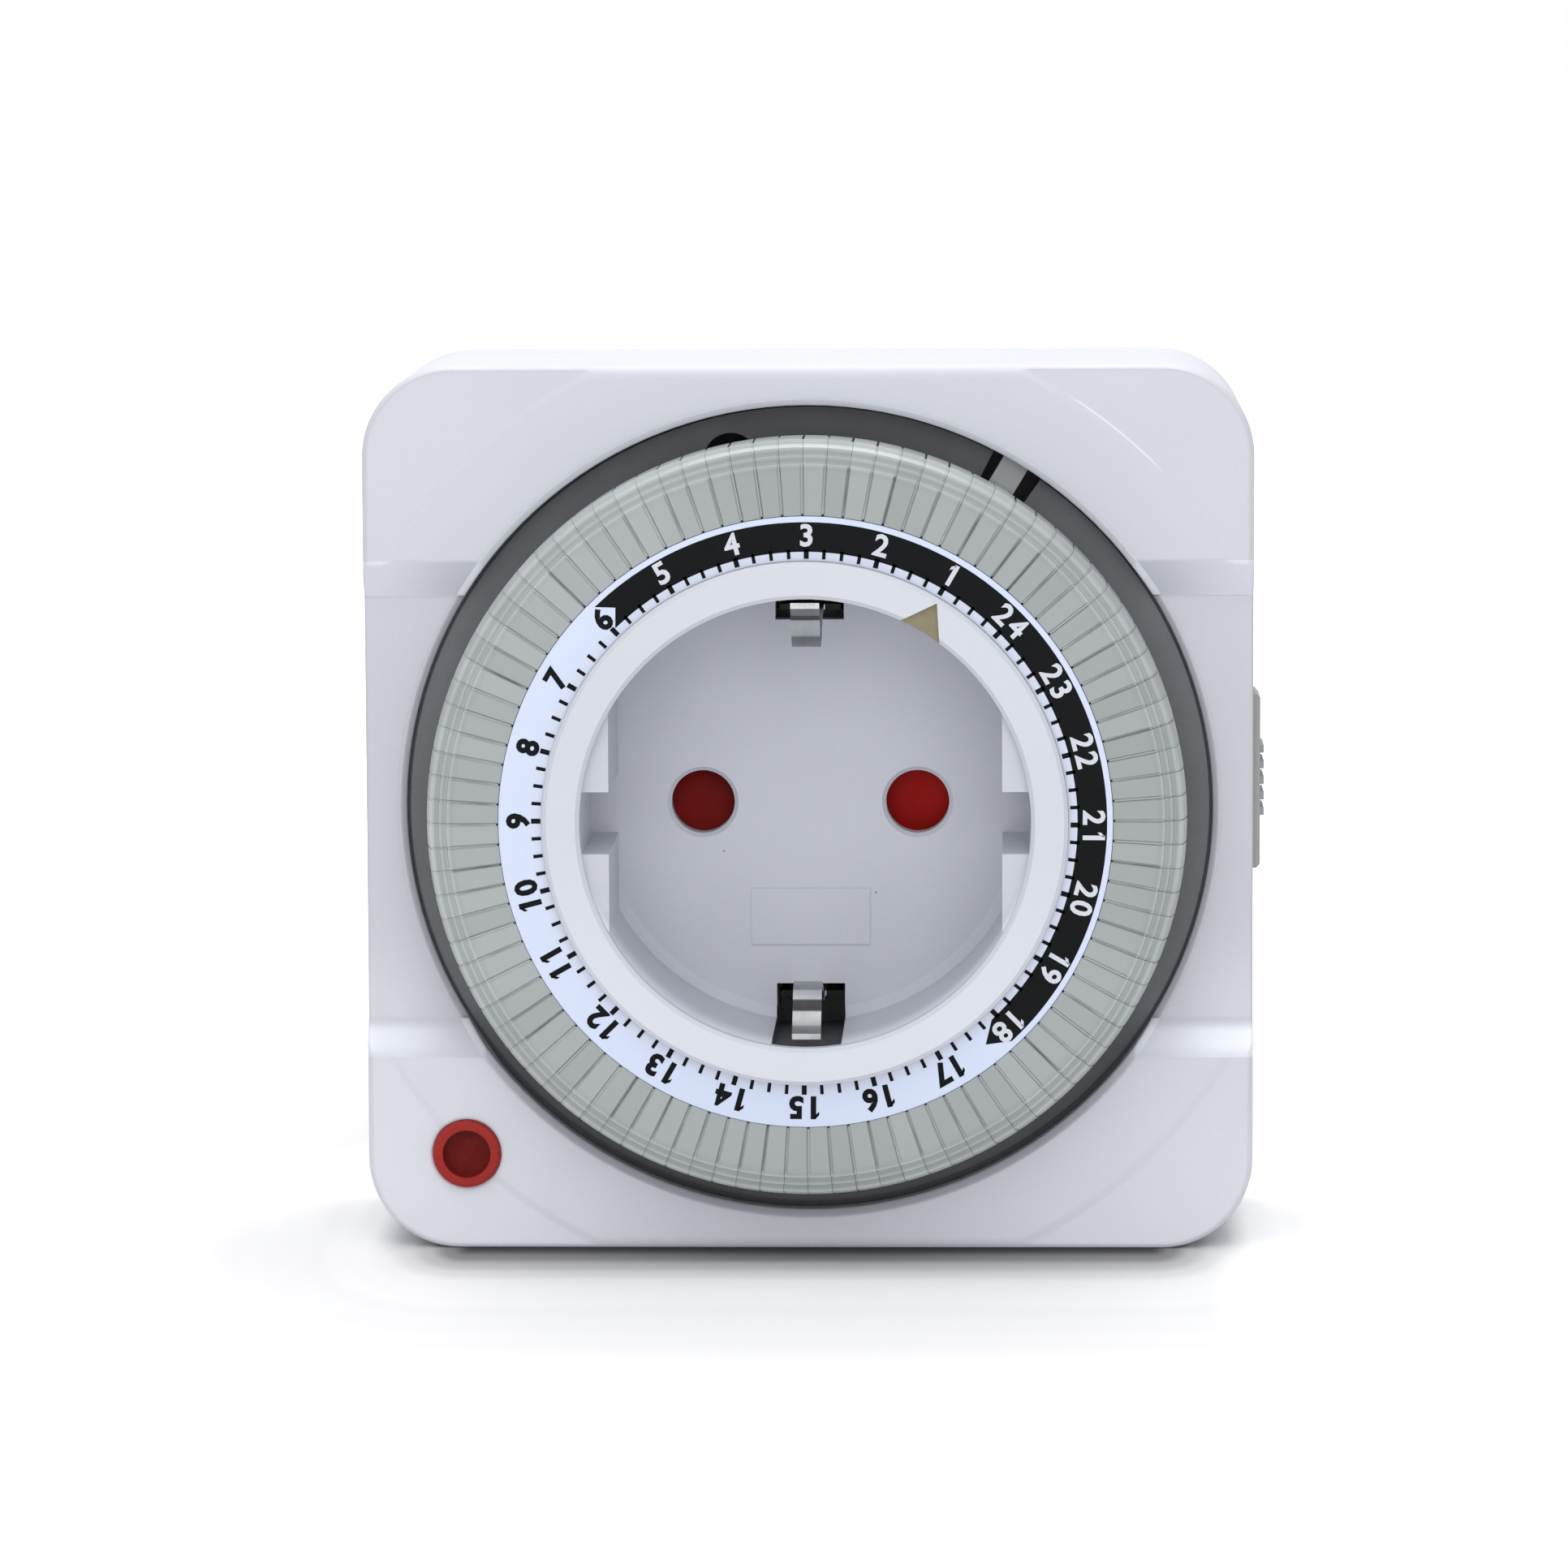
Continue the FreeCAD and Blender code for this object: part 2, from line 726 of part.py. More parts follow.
def contact_carrier():
    body = disc(recess_radius - 2.0 * carrier_gap, well_foot_level, carrier_level)
    body = body.fuse(disc(well_radius - carrier_gap, carrier_back_level, well_foot_level))
    body = body.fuse(disc(shutter_pivot_radius, carrier_level - overrun, recess_back_level - carrier_gap))
    for side in (-1, 1):
        x = side * pin_x
        shroud = block(x - shroud_half_x, x + shroud_half_x, shroud_end_level, carrier_back_level,
                       -shroud_half_z, shroud_half_z)
        inner_x = shroud_half_x - shroud_wall
        inner_z = shroud_half_z - shroud_wall
        pocket = block(x - inner_x, x + inner_x, shroud_end_level - overrun, carrier_back_level, -inner_z,
                       inner_z)
        hole = disc(contact_hole_radius, carrier_back_level - overrun, carrier_level + overrun, x)
        body = body.fuse(shroud).cut(pocket).cut(hole)
        low, high = sorted((side * (earth_strip_inner - 2.0 * carrier_gap),
                            side * (earth_slot_outer + overrun)))
        half = earth_strip_width / 2.0 + 2.0 * carrier_gap
        body = body.cut(block(-half, half, carrier_back_level - overrun, carrier_level + overrun, low,
                              high))
    pocket = ring(spring_pocket_radius, shutter_pivot_radius, carrier_level - spring_pocket_depth,
                  carrier_level + overrun)
    body = body.cut(pocket)
    half = outlet_bar_width / 2.0 + slot_gap
    back = outlet_bar_level - bar_thickness - slot_gap
    wall_x = pin_x + shroud_half_x - shroud_wall
    gate = block(wall_x - overrun, wall_x + shroud_wall + overrun, back,
                 outlet_bar_level + slot_gap, -half, half)
    return body.cut(gate).removeSplitter()


def safety_shutter():
    arm = block(-shutter_reach, shutter_reach, shutter_back_level, shutter_level,
                -shutter_arm_width / 2.0, shutter_arm_width / 2.0)
    body = arm.fuse(disc(shutter_hub_radius, shutter_back_level, shutter_level))
    half = shutter_pad_width / 2.0
    ramp_low = shutter_level - shutter_ramp_drop
    top = shutter_level + overrun
    for side in (-1, 1):
        x = side * pin_x
        body = body.fuse(block(x - half, x + half, shutter_back_level, shutter_level, -half, half))
    body = body.common(disc(shutter_reach, shutter_back_level, shutter_level))
    for side in (-1, 1):
        x = side * pin_x
        edge = side * (half + overrun)
        points = [(edge, shutter_level), (edge, top), (-edge, top), (-edge, ramp_low)]
        body = body.cut(side_profile(points, x - half - overrun, x + half + overrun))
    hole = disc(shutter_pivot_radius + running_clearance, shutter_back_level - overrun, top)
    return body.cut(hole)


def shutter_spring():
    half = spring_wire / 2.0
    front = shutter_back_level - end_float
    back = front - spring_wire
    coil = ring(spring_radius + half, spring_radius - half, back, front)
    leg = block(-half, half, back, front, spring_radius, spring_pocket_radius - shutter_gap)
    post = block(-half, half, front, shutter_back_level, spring_radius - half, spring_radius + half)
    return coil.fuse(leg).fuse(post)


def contact_leaf():
    flat = pinch_flat / 2.0
    inner = [(contact_mouth, contact_front_level), (contact_pinch, pinch_level + flat),
             (contact_pinch, pinch_level - flat), (contact_body, pinch_level - contact_taper),
             (contact_body, contact_back_level)]
    outer = [(x + leaf_thickness, level) for x, level in reversed(inner)]
    return top_profile(inner + outer, -leaf_half_width, leaf_half_width)


def socket_contact(side):
    leaf = contact_leaf()
    reach = contact_body + leaf_thickness
    bridge = block(-reach, reach, contact_back_level, contact_back_level + leaf_thickness,
                   -leaf_half_width, leaf_half_width)
    clip = leaf.fuse(mirrored(leaf, FreeCAD.Vector(1, 0, 0))).fuse(bridge).removeSplitter()
    clip.translate(FreeCAD.Vector(side * pin_x, 0, 0))
    return clip


def plug_pin(side, tail_end_level):
    x = side * pin_x
    face_level = rear_level - boss_depth
    inner = face_level + boss_end_wall
    tip = face_level - pin_length
    body = disc(pin_radius, tip + pin_radius, face_level, x).fuse(disc(pin_seat_radius, face_level, inner, x))
    body = body.fuse(Part.makeSphere(pin_radius, at(x, tip + pin_radius, 0.0)))
    body = body.fuse(disc(pin_flange_radius, inner, inner + pin_flange_thickness, x))
    return body.fuse(disc(pin_tail_radius, inner, tail_end_level, x)).removeSplitter()


def live_tail_level():
    return rear_level - boss_depth + boss_end_wall + pin_flange_thickness + live_tail_length


# Earth

def earth_clip_curve(shift):
    points = earth_clip_bends + ((earth_strip_inner, earth_foot_level),)
    curve = Part.BSplineCurve()
    curve.interpolate([at(0.0, level, z + shift) for z, level in points])
    return curve.toShape()


def earth_contact():
    # The spring clip in the recess, then one strip back through the well and down the plug.
    inner = earth_clip_curve(0.0)
    outer = earth_clip_curve(earth_thickness)
    first = Part.LineSegment(inner.firstVertex().Point, outer.firstVertex().Point).toShape()
    last = Part.LineSegment(inner.lastVertex().Point, outer.lastVertex().Point).toShape()
    edges = Part.sortEdges([inner, outer, first, last])[0]
    clip = Part.Face(Part.Wire(edges)).extrude(FreeCAD.Vector(earth_clip_width, 0, 0))
    clip.translate(FreeCAD.Vector(-earth_clip_width / 2.0, 0, 0))
    hook_level = rear_level - boss_depth + earth_end_gap
    near = [(earth_strip_inner, earth_foot_level), (earth_strip_inner, earth_jog_front_level),
            (boss_notch_floor, earth_jog_back_level), (boss_notch_floor, hook_level + earth_thickness),
            (boss_notch_floor - earth_hook_length, hook_level + earth_thickness)]
    far = [(boss_notch_floor - earth_hook_length, hook_level),
           (boss_notch_floor + earth_thickness, hook_level),
           (boss_notch_floor + earth_thickness, earth_jog_back_level),
           (earth_strip_inner + earth_thickness, earth_jog_front_level),
           (earth_strip_inner + earth_thickness, earth_foot_level)]
    half = earth_clip_width / 2.0
    strip = side_profile(near + far, -earth_strip_width / 2.0, earth_strip_width / 2.0)
    for side in (-1, 1):
        low, high = sorted((side * half, side * (earth_strip_width / 2.0 + overrun)))
        shoulder = block(low, high, recess_level - overrun, recess_level + 2.0 * earth_foot_rise, 0.0,
                         housing_half)
        strip = strip.cut(shoulder)
    return clip.fuse(strip).removeSplitter()


def earth_link():
    back = carrier_back_level - earth_link_thickness
    half_ring = ring(earth_strip_inner, earth_link_inner, back, carrier_back_level)
    half_ring = half_ring.common(block(0.0, housing_half, back, carrier_back_level, -housing_half,
                                       housing_half))
    for side in (-1, 1):
        low, high = sorted((side * earth_link_inner, side * earth_strip_inner))
        half = earth_strip_width / 2.0 - earth_link_inset
        half_ring = half_ring.fuse(block(-half, half, back, carrier_back_level, low, high))
    return half_ring.removeSplitter()


# Dial

def dial_carrier():
    profile = [(sleeve_inner, dial_gear_back_level - end_float),
               (sleeve_outer, dial_gear_back_level - end_float),
               (sleeve_outer, comb_back_level), (comb_radius, comb_back_level),
               (comb_radius, comb_back_level + comb_thickness),
               (label_outer_radius, comb_back_level + comb_thickness),
               (label_outer_radius, label_level - label_thickness),
               (label_inner_radius, label_level - label_thickness),
               (label_inner_radius, well_top_level - sleeve_front_gap),
               (sleeve_inner, well_top_level - sleeve_front_gap)]
    body = turned(profile)
    half = comb_notch_width / 2.0
    notch = block(-half, half, comb_back_level - overrun, comb_back_level + comb_thickness + overrun,
                  comb_radius - comb_notch_depth, comb_radius + overrun)
    notches = [turn(notch, first_gap_bearing + (index + 0.5) * tab_pitch) for index in range(tab_count)]
    return body.cut(Part.makeCompound(notches))


def hour_scale_ring():
    return ring(label_outer_radius, label_inner_radius, label_level - label_thickness, label_level)


def hour_tab():
    # One quarter-hour tab at the bearing of the first gap plus half a pitch.
    under = tab_face_level - tab_face_thickness
    skirt = tab_outer_radius - tab_skirt_thickness
    profile = [(tab_inner_radius, tab_face_level), (tab_face_radius, tab_face_level)]
    profile += [(tab_face_radius + outward, tab_face_level - back) for outward, back in tab_terraces]
    profile += [(tab_outer_radius, tab_shoulder_level), (tab_outer_radius, tab_skirt_end_level),
                (skirt, tab_skirt_end_level), (skirt, tab_shoulder_level - tab_skirt_thickness / 2.0),
                (tab_face_radius + tab_underside_reach, under), (tab_inner_radius, under)]
    sweep = tab_pitch - tab_gap_angle
    body = turned(profile, sweep, -sweep / 2.0)
    body = body.makeChamfer(tab_edge_bevel, face_side_edges(body))
    half = foot_width / 2.0
    foot = block(-half, half, foot_end_level, under, foot_inner_radius, foot_outer_radius)
    half = foot_hook_width / 2.0
    hook = block(-half, half, foot_end_level, comb_back_level - foot_hook_gap, foot_inner_radius,
                 foot_outer_radius)
    return turn(body.fuse(foot).fuse(hook).removeSplitter(), first_gap_bearing + tab_pitch / 2.0)


def face_side_edges(body):
    # The two straight edges between the tab's front face and its sides.
    found = []
    for edge in body.Edges:
        box = edge.BoundBox
        flat = abs(box.YMin - y_at(tab_face_level)) < 0.001 and abs(box.YMax - y_at(tab_face_level)) < 0.001
        if flat and isinstance(edge.Curve, Part.Line):
            found.append(edge)
    return found


def tab_group(hour_step):
    tab = hour_tab()
    first = hour_step * tabs_per_hour
    return [turn(tab, (first + index) * tab_pitch) for index in range(tabs_per_hour)]


def chassis_plate():
    body = disc(chassis_disc_radius, chassis_base_level, chassis_level)
    plate_half = cavity_half - chassis_edge_gap
    plate_radius = housing_corner_radius - side_wall - chassis_edge_gap
    body = body.fuse(rounded_slab(plate_half, plate_radius, chassis_back_level, chassis_base_level))
    back = chassis_back_level - overrun
    front = chassis_level + overrun
    holes = [disc(sleeve_outer + sleeve_hole_gap, back, front)]
    holes += [disc(front_post_radius + post_clearance, back, front, x, z) for x, z in cover_post_places()]
    holes.append(disc(lens_flange_radius + 2.0 * slot_gap, back, front, lamp_x, lamp_z))
    holes.append(disc(peep_hole_radius, back, front, *polar(peep_hole_reach, peep_hole_bearing)))
    holes.append(disc(arbor_radius + hole_clearance, back, chassis_base_level,
                      *polar(idler_distance, idler_bearing)))
    window = [(window_inner_radius, back), (window_outer_radius, back),
              (window_outer_radius, front), (window_inner_radius, front)]
    holes.append(turned(window, window_end - window_start, window_start))
    for hole in holes:
        body = body.cut(hole)
    return body.removeSplitter()


# Gears

def involute(angle):
    return math.tan(angle) - angle


def flank_angle(radius, pitch_radius, teeth):
    # Half the angle that a tooth fills at a radius, in degrees.
    steep = math.radians(pressure_angle)
    base = pitch_radius * math.cos(steep)
    at_pitch = math.pi / (2.0 * teeth) - tooth_play / (2.0 * pitch_radius)
    lean = math.acos(min(1.0, base / radius))
    return math.degrees(at_pitch + involute(steep) - involute(lean))


def gear(teeth, module, addendum, tooth_bearing, back, front, x=0.0, z=0.0):
    pitch_radius = teeth * module / 2.0
    base = pitch_radius * math.cos(math.radians(pressure_angle))
    tip = pitch_radius + addendum * module
    root = pitch_radius - dedendum * module
    start = max(root, base)
    middle = (start + tip) / 2.0
    step = 360.0 / teeth

    def spot(radius, bearing):
        dx, dz = polar(radius, bearing)
        return at(x + dx, front, z + dz)

    edges = []
    for index in range(teeth):
        centre = tooth_bearing + index * step
        low = flank_angle(start, pitch_radius, teeth)
        mid = flank_angle(middle, pitch_radius, teeth)
        top = flank_angle(tip, pitch_radius, teeth)
        if start > root:
            edges.append(Part.LineSegment(spot(root, centre - low), spot(start, centre - low)))
        edges.append(Part.Arc(spot(start, centre - low), spot(middle, centre - mid),
                              spot(tip, centre - top)))
        edges.append(Part.Arc(spot(tip, centre - top), spot(tip, centre), spot(tip, centre + top)))
        edges.append(Part.Arc(spot(tip, centre + top), spot(middle, centre + mid),
                              spot(start, centre + low)))
        if start > root:
            edges.append(Part.LineSegment(spot(start, centre + low), spot(root, centre + low)))
        edges.append(Part.Arc(spot(root, centre + low), spot(root, centre + step / 2.0),
                              spot(root, centre + step - low)))
    face = Part.Face(Part.Wire([edge.toShape() for edge in edges]))
    return face.extrude(FreeCAD.Vector(0, front - back, 0))


def dial_gear():
    body = gear(dial_gear_teeth, dial_module, dial_addendum, 0.0, dial_gear_back_level, dial_gear_level)
    return body.cut(disc(sleeve_outer, dial_gear_back_level - overrun, dial_gear_level + overrun))


def idler_gear():
    x, z = polar(idler_distance, idler_bearing)
    mesh = idler_bearing + 180.0 + 180.0 / idler_pinion_teeth
    body = gear(idler_pinion_teeth, dial_module, dial_addendum, mesh, idler_pinion_back_level,
                dial_gear_level, x, z)
    wheel = gear(idler_wheel_teeth, motor_module, motor_addendum, motor_pinion_bearing,
                 idler_wheel_back_level, idler_wheel_level, x, z)
    body = body.fuse(disc(idler_hub_radius, idler_foot_level, idler_pinion_back_level, x, z)).fuse(wheel)
    bore = disc(arbor_radius + running_clearance, idler_foot_level - overrun, dial_gear_level + overrun,
                x, z)
    return body.cut(bore).removeSplitter()


def idler_arbor():
    x, z = polar(idler_distance, idler_bearing)
    return disc(arbor_radius, arbor_post_level - arbor_seat, chassis_base_level, x, z)


def motor_shaft_place():
    x, z = polar(idler_distance, idler_bearing)
    dx, dz = polar(motor_distance, motor_pinion_bearing)
    return x + dx, z + dz


def motor_pinion():
    x, z = motor_shaft_place()
    mesh = motor_pinion_bearing + 180.0 + 180.0 / motor_pinion_teeth
    front = idler_wheel_level + end_float
    back = front - motor_pinion_width
    body = gear(motor_pinion_teeth, motor_module, motor_addendum, mesh, back, front, x, z)
    plate_front = motor_front_level + motor_plate_thickness
    body = body.fuse(disc(motor_hub_radius, plate_front + end_float, back, x, z))
    return body.fuse(disc(motor_shaft_radius, motor_front_level - motor_shaft_seat, back, x,
                          z)).removeSplitter()


def synchronous_motor():
    can = disc(motor_radius, floor_level, motor_front_level, motor_x, motor_z)
    plate_front = motor_front_level + motor_plate_thickness
    plate = disc(motor_radius, motor_front_level, plate_front, motor_x, motor_z)
    arm = block(-motor_ear_radius, motor_ear_radius, motor_front_level, plate_front, -motor_ear_reach,
                motor_ear_reach)
    arm = turn(arm, motor_ear_bearing)
    arm.translate(FreeCAD.Vector(motor_x, 0, motor_z))
    plate = plate.fuse(arm)
    for x, z in motor_ear_places():
        plate = plate.fuse(disc(motor_ear_radius, motor_front_level, plate_front, x, z))
        hole = disc(small_screw_radius + hole_clearance, motor_front_level - overrun,
                    plate_front + overrun, x, z)
        plate = plate.cut(hole)
    x, z = motor_shaft_place()
    bore = disc(motor_shaft_radius + running_clearance, motor_front_level - motor_shaft_seat - end_float,
                plate_front + overrun, x, z)
    return [can.cut(bore), plate.cut(bore).removeSplitter()]


# Switch

def switch_body():
    body = block(switch_left, switch_right, switch_back_level, switch_front_level, switch_inner,
                 switch_outer)
    ear_in = lever_width / 2.0 + 2.0 * slide_gap
    for side in (-1, 1):
        low, high = sorted((side * ear_in, side * (ear_in + switch_ear_thickness)))
        body = body.fuse(block(low, high, switch_front_level, lever_pivot_level + lever_hub_radius,
                               lever_pivot_reach - lever_hub_radius, switch_outer))
    reach = ear_in + switch_ear_thickness + overrun
    bore = Part.makeCylinder(lever_pin_radius, 2.0 * reach,
                             at(-reach, lever_pivot_level, lever_pivot_reach),
                             FreeCAD.Vector(1, 0, 0))
    body = body.cut(bore)
    gap = running_clearance
    back = switch_front_level - plunger_length
    body = body.cut(block(-plunger_half_x - gap, plunger_half_x + gap, back, switch_front_level + overrun,
                          plunger_reach - plunger_half_z - gap, plunger_reach + plunger_half_z + gap))
    button = Part.makeCylinder(switch_button_radius, switch_button_reach,
                               at(switch_right, knob_centre_level,
                                  switch_inner + switch_button_radius + switch_button_inset),
                               FreeCAD.Vector(1, 0, 0))
    return turn(body.fuse(button).removeSplitter(), lever_bearing)


def switch_plunger():
    front = lever_pivot_level - lever_thickness / 2.0 - plunger_gap
    back = switch_front_level - plunger_length + plunger_room
    body = block(-plunger_half_x, plunger_half_x, back, front,
                 plunger_reach - plunger_half_z, plunger_reach + plunger_half_z)
    return turn(body, lever_bearing)


def switch_lever():
    half = lever_thickness / 2.0
    back = lever_pivot_level - half
    inner = lever_upright_reach - half
    outer = lever_upright_reach + half
    shelf = lever_flat_level - lever_thickness
    outline = [(lever_pivot_reach, back), (lever_pivot_reach, lever_pivot_level + half),
               (outer, lever_pivot_level + half), (outer, lever_flat_level),
               (lever_nose_reach, lever_flat_level),
               (lever_nose_reach, shelf), (inner, shelf), (inner, back)]
    body = side_profile(outline, -lever_width / 2.0, lever_width / 2.0)
    hub = Part.makeCylinder(lever_hub_radius, lever_width,
                            at(-lever_width / 2.0, lever_pivot_level, lever_pivot_reach),
                            FreeCAD.Vector(1, 0, 0))
    nose = block(-lever_nose_width / 2.0, lever_nose_width / 2.0, shelf, lever_nose_level,
                 lever_nose_reach - half, lever_nose_reach + half)
    bore = Part.makeCylinder(lever_pin_radius + running_clearance, 2.0 * lever_width,
                             at(-lever_width, lever_pivot_level, lever_pivot_reach),
                             FreeCAD.Vector(1, 0, 0))
    return turn(body.fuse(hub).fuse(nose).cut(bore).removeSplitter(), lever_bearing)


def lever_pin():
    reach = lever_width / 2.0 + 2.0 * slide_gap + switch_ear_thickness
    pin = Part.makeCylinder(lever_pin_radius, 2.0 * reach, at(-reach, lever_pivot_level, lever_pivot_reach),
                            FreeCAD.Vector(1, 0, 0))
    return turn(pin, lever_bearing)


def live_feed_bar():
    # From the tail of the live pin, out of the plug and along the rear wall to the switch.
    tail = live_tail_level()
    half = feed_bar_width / 2.0
    low = feed_bar_level
    high = low + bar_thickness
    riser_right = feed_riser_x + bar_thickness / 2.0
    foot = block(pin_x - half, riser_right, tail, tail + bar_thickness, -half, half)
    riser = block(riser_right - bar_thickness, riser_right, tail, high, -half, half)
    run = block(riser_right - bar_thickness, feed_run_x + half, low, high, -half, half)
    climb = block(feed_run_x - half, feed_run_x + half, low, high, -half, feed_run_end)
    post = block(feed_run_x, feed_run_x + half, low, switch_back_level, feed_run_end - bar_thickness,
                 feed_run_end)
    return foot.fuse(riser).fuse(run).fuse(climb).fuse(post).removeSplitter()


def live_outlet_bar():
    # From the switch back to the live contact of the socket.
    half = outlet_bar_width / 2.0
    low = outlet_bar_level - bar_thickness
    start = pin_x + contact_body + leaf_thickness
    run = block(start, outlet_run_x + half, low, outlet_bar_level, -half, half)
    climb = block(outlet_run_x - half, outlet_run_x + half, low, outlet_bar_level, -half, outlet_run_end)
    post = block(outlet_run_x - half, outlet_run_x + half, low, switch_back_level,
                 outlet_run_end - bar_thickness, outlet_run_end)
    return run.fuse(climb).fuse(post).removeSplitter()


# Override slider

def override_knob():
    inner = housing_half + slide_gap
    outer = inner + knob_thickness
    low = knob_centre_z - knob_length / 2.0
    half = knob_width / 2.0
    back = knob_centre_level - half
    plate = block(inner, outer, back, back + knob_width, low, low + knob_length)
    ends = [edge for edge in plate.Edges if abs(edge.CenterOfMass.x - outer) < 0.001]
    plate = plate.makeChamfer(knob_thickness / 2.0, ends)
    for index in range(knob_rib_count):
        middle = knob_centre_z + (index - (knob_rib_count - 1) / 2.0) * knob_rib_pitch
        rib = block(outer - knob_rib_height, outer + knob_rib_height, back + knob_rib_inset,
                    back + knob_width - knob_rib_inset, middle - knob_rib_width / 2.0,
                    middle + knob_rib_width / 2.0)
        plate = plate.fuse(rib)
    stem = block(cavity_half - 2.0 * slide_gap, inner, knob_centre_level - stem_width / 2.0,
                 knob_centre_level + stem_width / 2.0, knob_centre_z - stem_length / 2.0,
                 knob_centre_z + stem_length / 2.0)
    return plate.fuse(stem).removeSplitter()


def override_bar():
    outer = cavity_half - 2.0 * slide_gap
    inner = outer - bar_plate_thickness
    half = knob_width / 2.0
    body = block(inner, outer, knob_centre_level - half, knob_centre_level + half, bar_low, bar_high)
    half = bar_arm_width / 2.0
    arm = block(inner, outer, knob_centre_level - half, knob_centre_level + half, bar_high - overrun,
                bar_arm_high)
    nose = block(bar_nose_x, outer, knob_centre_level - half, knob_centre_level + half,
                 bar_arm_high - bar_nose_height, bar_arm_high)
    return body.fuse(arm).fuse(nose).removeSplitter()


# Lamp and leads

def neon_lens():
    body = disc(lens_radius, lens_back_level, lens_proud, lamp_x, lamp_z)
    rim = [edge for edge in body.Edges if abs(edge.BoundBox.YMax - y_at(lens_proud)) < 0.001]
    body = body.makeFillet(lens_rounding, rim)
    body = body.fuse(disc(lens_flange_radius, -front_wall - lens_flange_thickness, -front_wall, lamp_x,
                          lamp_z))
    body = body.cut(disc(lens_bore, lens_floor_level, lens_proud + overrun, lamp_x, lamp_z))
    floor_back = lens_floor_level - lens_floor_thickness
    return body.cut(disc(lens_bore, lens_back_level - overrun, floor_back, lamp_x, lamp_z)).removeSplitter()


def neon_lamp():
    # The glass bulb on its post, and the series resistor beside it.
    front = lens_floor_level - lens_floor_thickness - bulb_gap
    bulb = disc(bulb_radius, bulb_back_level, front, lamp_x, lamp_z)
    tip = [edge for edge in bulb.Edges if abs(edge.BoundBox.YMax - y_at(front)) < 0.001]
    bulb = bulb.makeFillet(bulb_rounding, tip)
    x = lamp_x + lamp_post_radius + resistor_radius + hole_clearance
    resistor = disc(resistor_radius, resistor_back_level, resistor_back_level + resistor_length, x, lamp_z)
    return [bulb, resistor]


def lead_along(points):
    # A round lead along straight runs joined by tangent arcs.
    edges = []
    last = points[0]
    for before, corner, after in zip(points, points[1:], points[2:]):
        towards = (corner - before).normalize()
        away = (after - corner).normalize()
        half_turn = towards.getAngle(away) / 2.0
        reach = lead_bend * math.tan(half_turn)
        start = corner - towards * reach
        end = corner + away * reach
        bisector = (away - towards).normalize()
        centre = corner + bisector * (lead_bend / math.cos(half_turn))
        middle = centre - bisector * lead_bend
        edges.append(Part.LineSegment(last, start).toShape())
        edges.append(Part.Arc(start, middle, end).toShape())
        last = end
    edges.append(Part.LineSegment(last, points[-1]).toShape())
    path = Part.Wire(edges)
    section = Part.Wire([Part.makeCircle(lead_radius, points[0], points[1] - points[0])])
    return path.makePipeShell([section], True, False)


def supply_leads():
    # Two motor leads and the lamp lead, each from its piece to a live or neutral part.
    start_x = motor_x + math.sqrt(motor_radius ** 2 - (motor_z - motor_lead_z) ** 2) + 2.0 * lead_end_gap
    live = [at(start_x, lead_level, motor_lead_z), at(feed_run_x, lead_level, motor_lead_z),
            at(feed_run_x, feed_bar_level + bar_thickness, motor_lead_z)]
    shroud_x = -pin_x - shroud_half_x - lead_end_gap
    neutral_x = motor_x + neutral_lead_offset
    neutral_z = motor_z - math.sqrt(motor_radius ** 2 - (motor_x - neutral_x) ** 2) - 2.0 * lead_end_gap
    neutral = [at(neutral_x, lead_level, neutral_z), at(neutral_x, lead_level, 0.0),
               at(shroud_x, lead_level, 0.0)]
    lamp = [at(lamp_x, lead_level, lamp_z + lamp_post_radius + lead_end_gap),
            at(lamp_x, lead_level, lamp_lead_z), at(shroud_x, lead_level, lamp_lead_z)]
    return [lead_along(live), lead_along(neutral), lead_along(lamp)]


def hour_name(hour_step):
    return "tab_hour_%02d" % ((first_hour - hour_step) % 24)


def build():
    os.makedirs("parts", exist_ok=True)
    save("front_cover", front_cover())
    save("rear_cover", rear_cover())
    save("plug_body", plug_body())
    save("cover_screws", *cover_screws())
    save("chassis_plate", chassis_plate())
    save("socket_well", socket_well())
    save("inner_screws", *inner_screws())
    save("collar_ring", collar_ring())
    save("time_pointer", time_pointer())
    save("contact_carrier", contact_carrier())
    save("safety_shutter", safety_shutter())
    save("shutter_spring", shutter_spring())
    save("neutral_contact", socket_contact(-1))
    save("live_contact", socket_contact(1))
    save("neutral_pin", plug_pin(-1, contact_back_level))
    save("live_pin", plug_pin(1, live_tail_level()))
    save("earth_contacts", earth_contact(), turn(earth_contact(), 180.0))
    save("earth_link", earth_link())
    save("live_feed_bar", live_feed_bar())
    save("live_outlet_bar", live_outlet_bar())
    save("dial_carrier", dial_carrier())
    save("dial_gear", dial_gear())
    save("hour_scale_ring", hour_scale_ring())
    for hour_step in range(tab_count // tabs_per_hour):
        save(hour_name(hour_step), *tab_group(hour_step))
    save("idler_gear", idler_gear())
    save("idler_arbor", idler_arbor())
    save("motor_pinion", motor_pinion())
    save("synchronous_motor", *synchronous_motor())
    save("switch_body", switch_body())
    save("switch_plunger", switch_plunger())
    save("switch_lever", switch_lever())
    save("lever_pin", lever_pin())
    save("override_knob", override_knob())
    save("override_bar", override_bar())
    save("neon_lens", neon_lens())
    save("neon_lamp", *neon_lamp())
    save("supply_leads", *supply_leads())


build()
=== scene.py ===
import math
import random

import bmesh
import bpy
from mathutils import Matrix, Vector


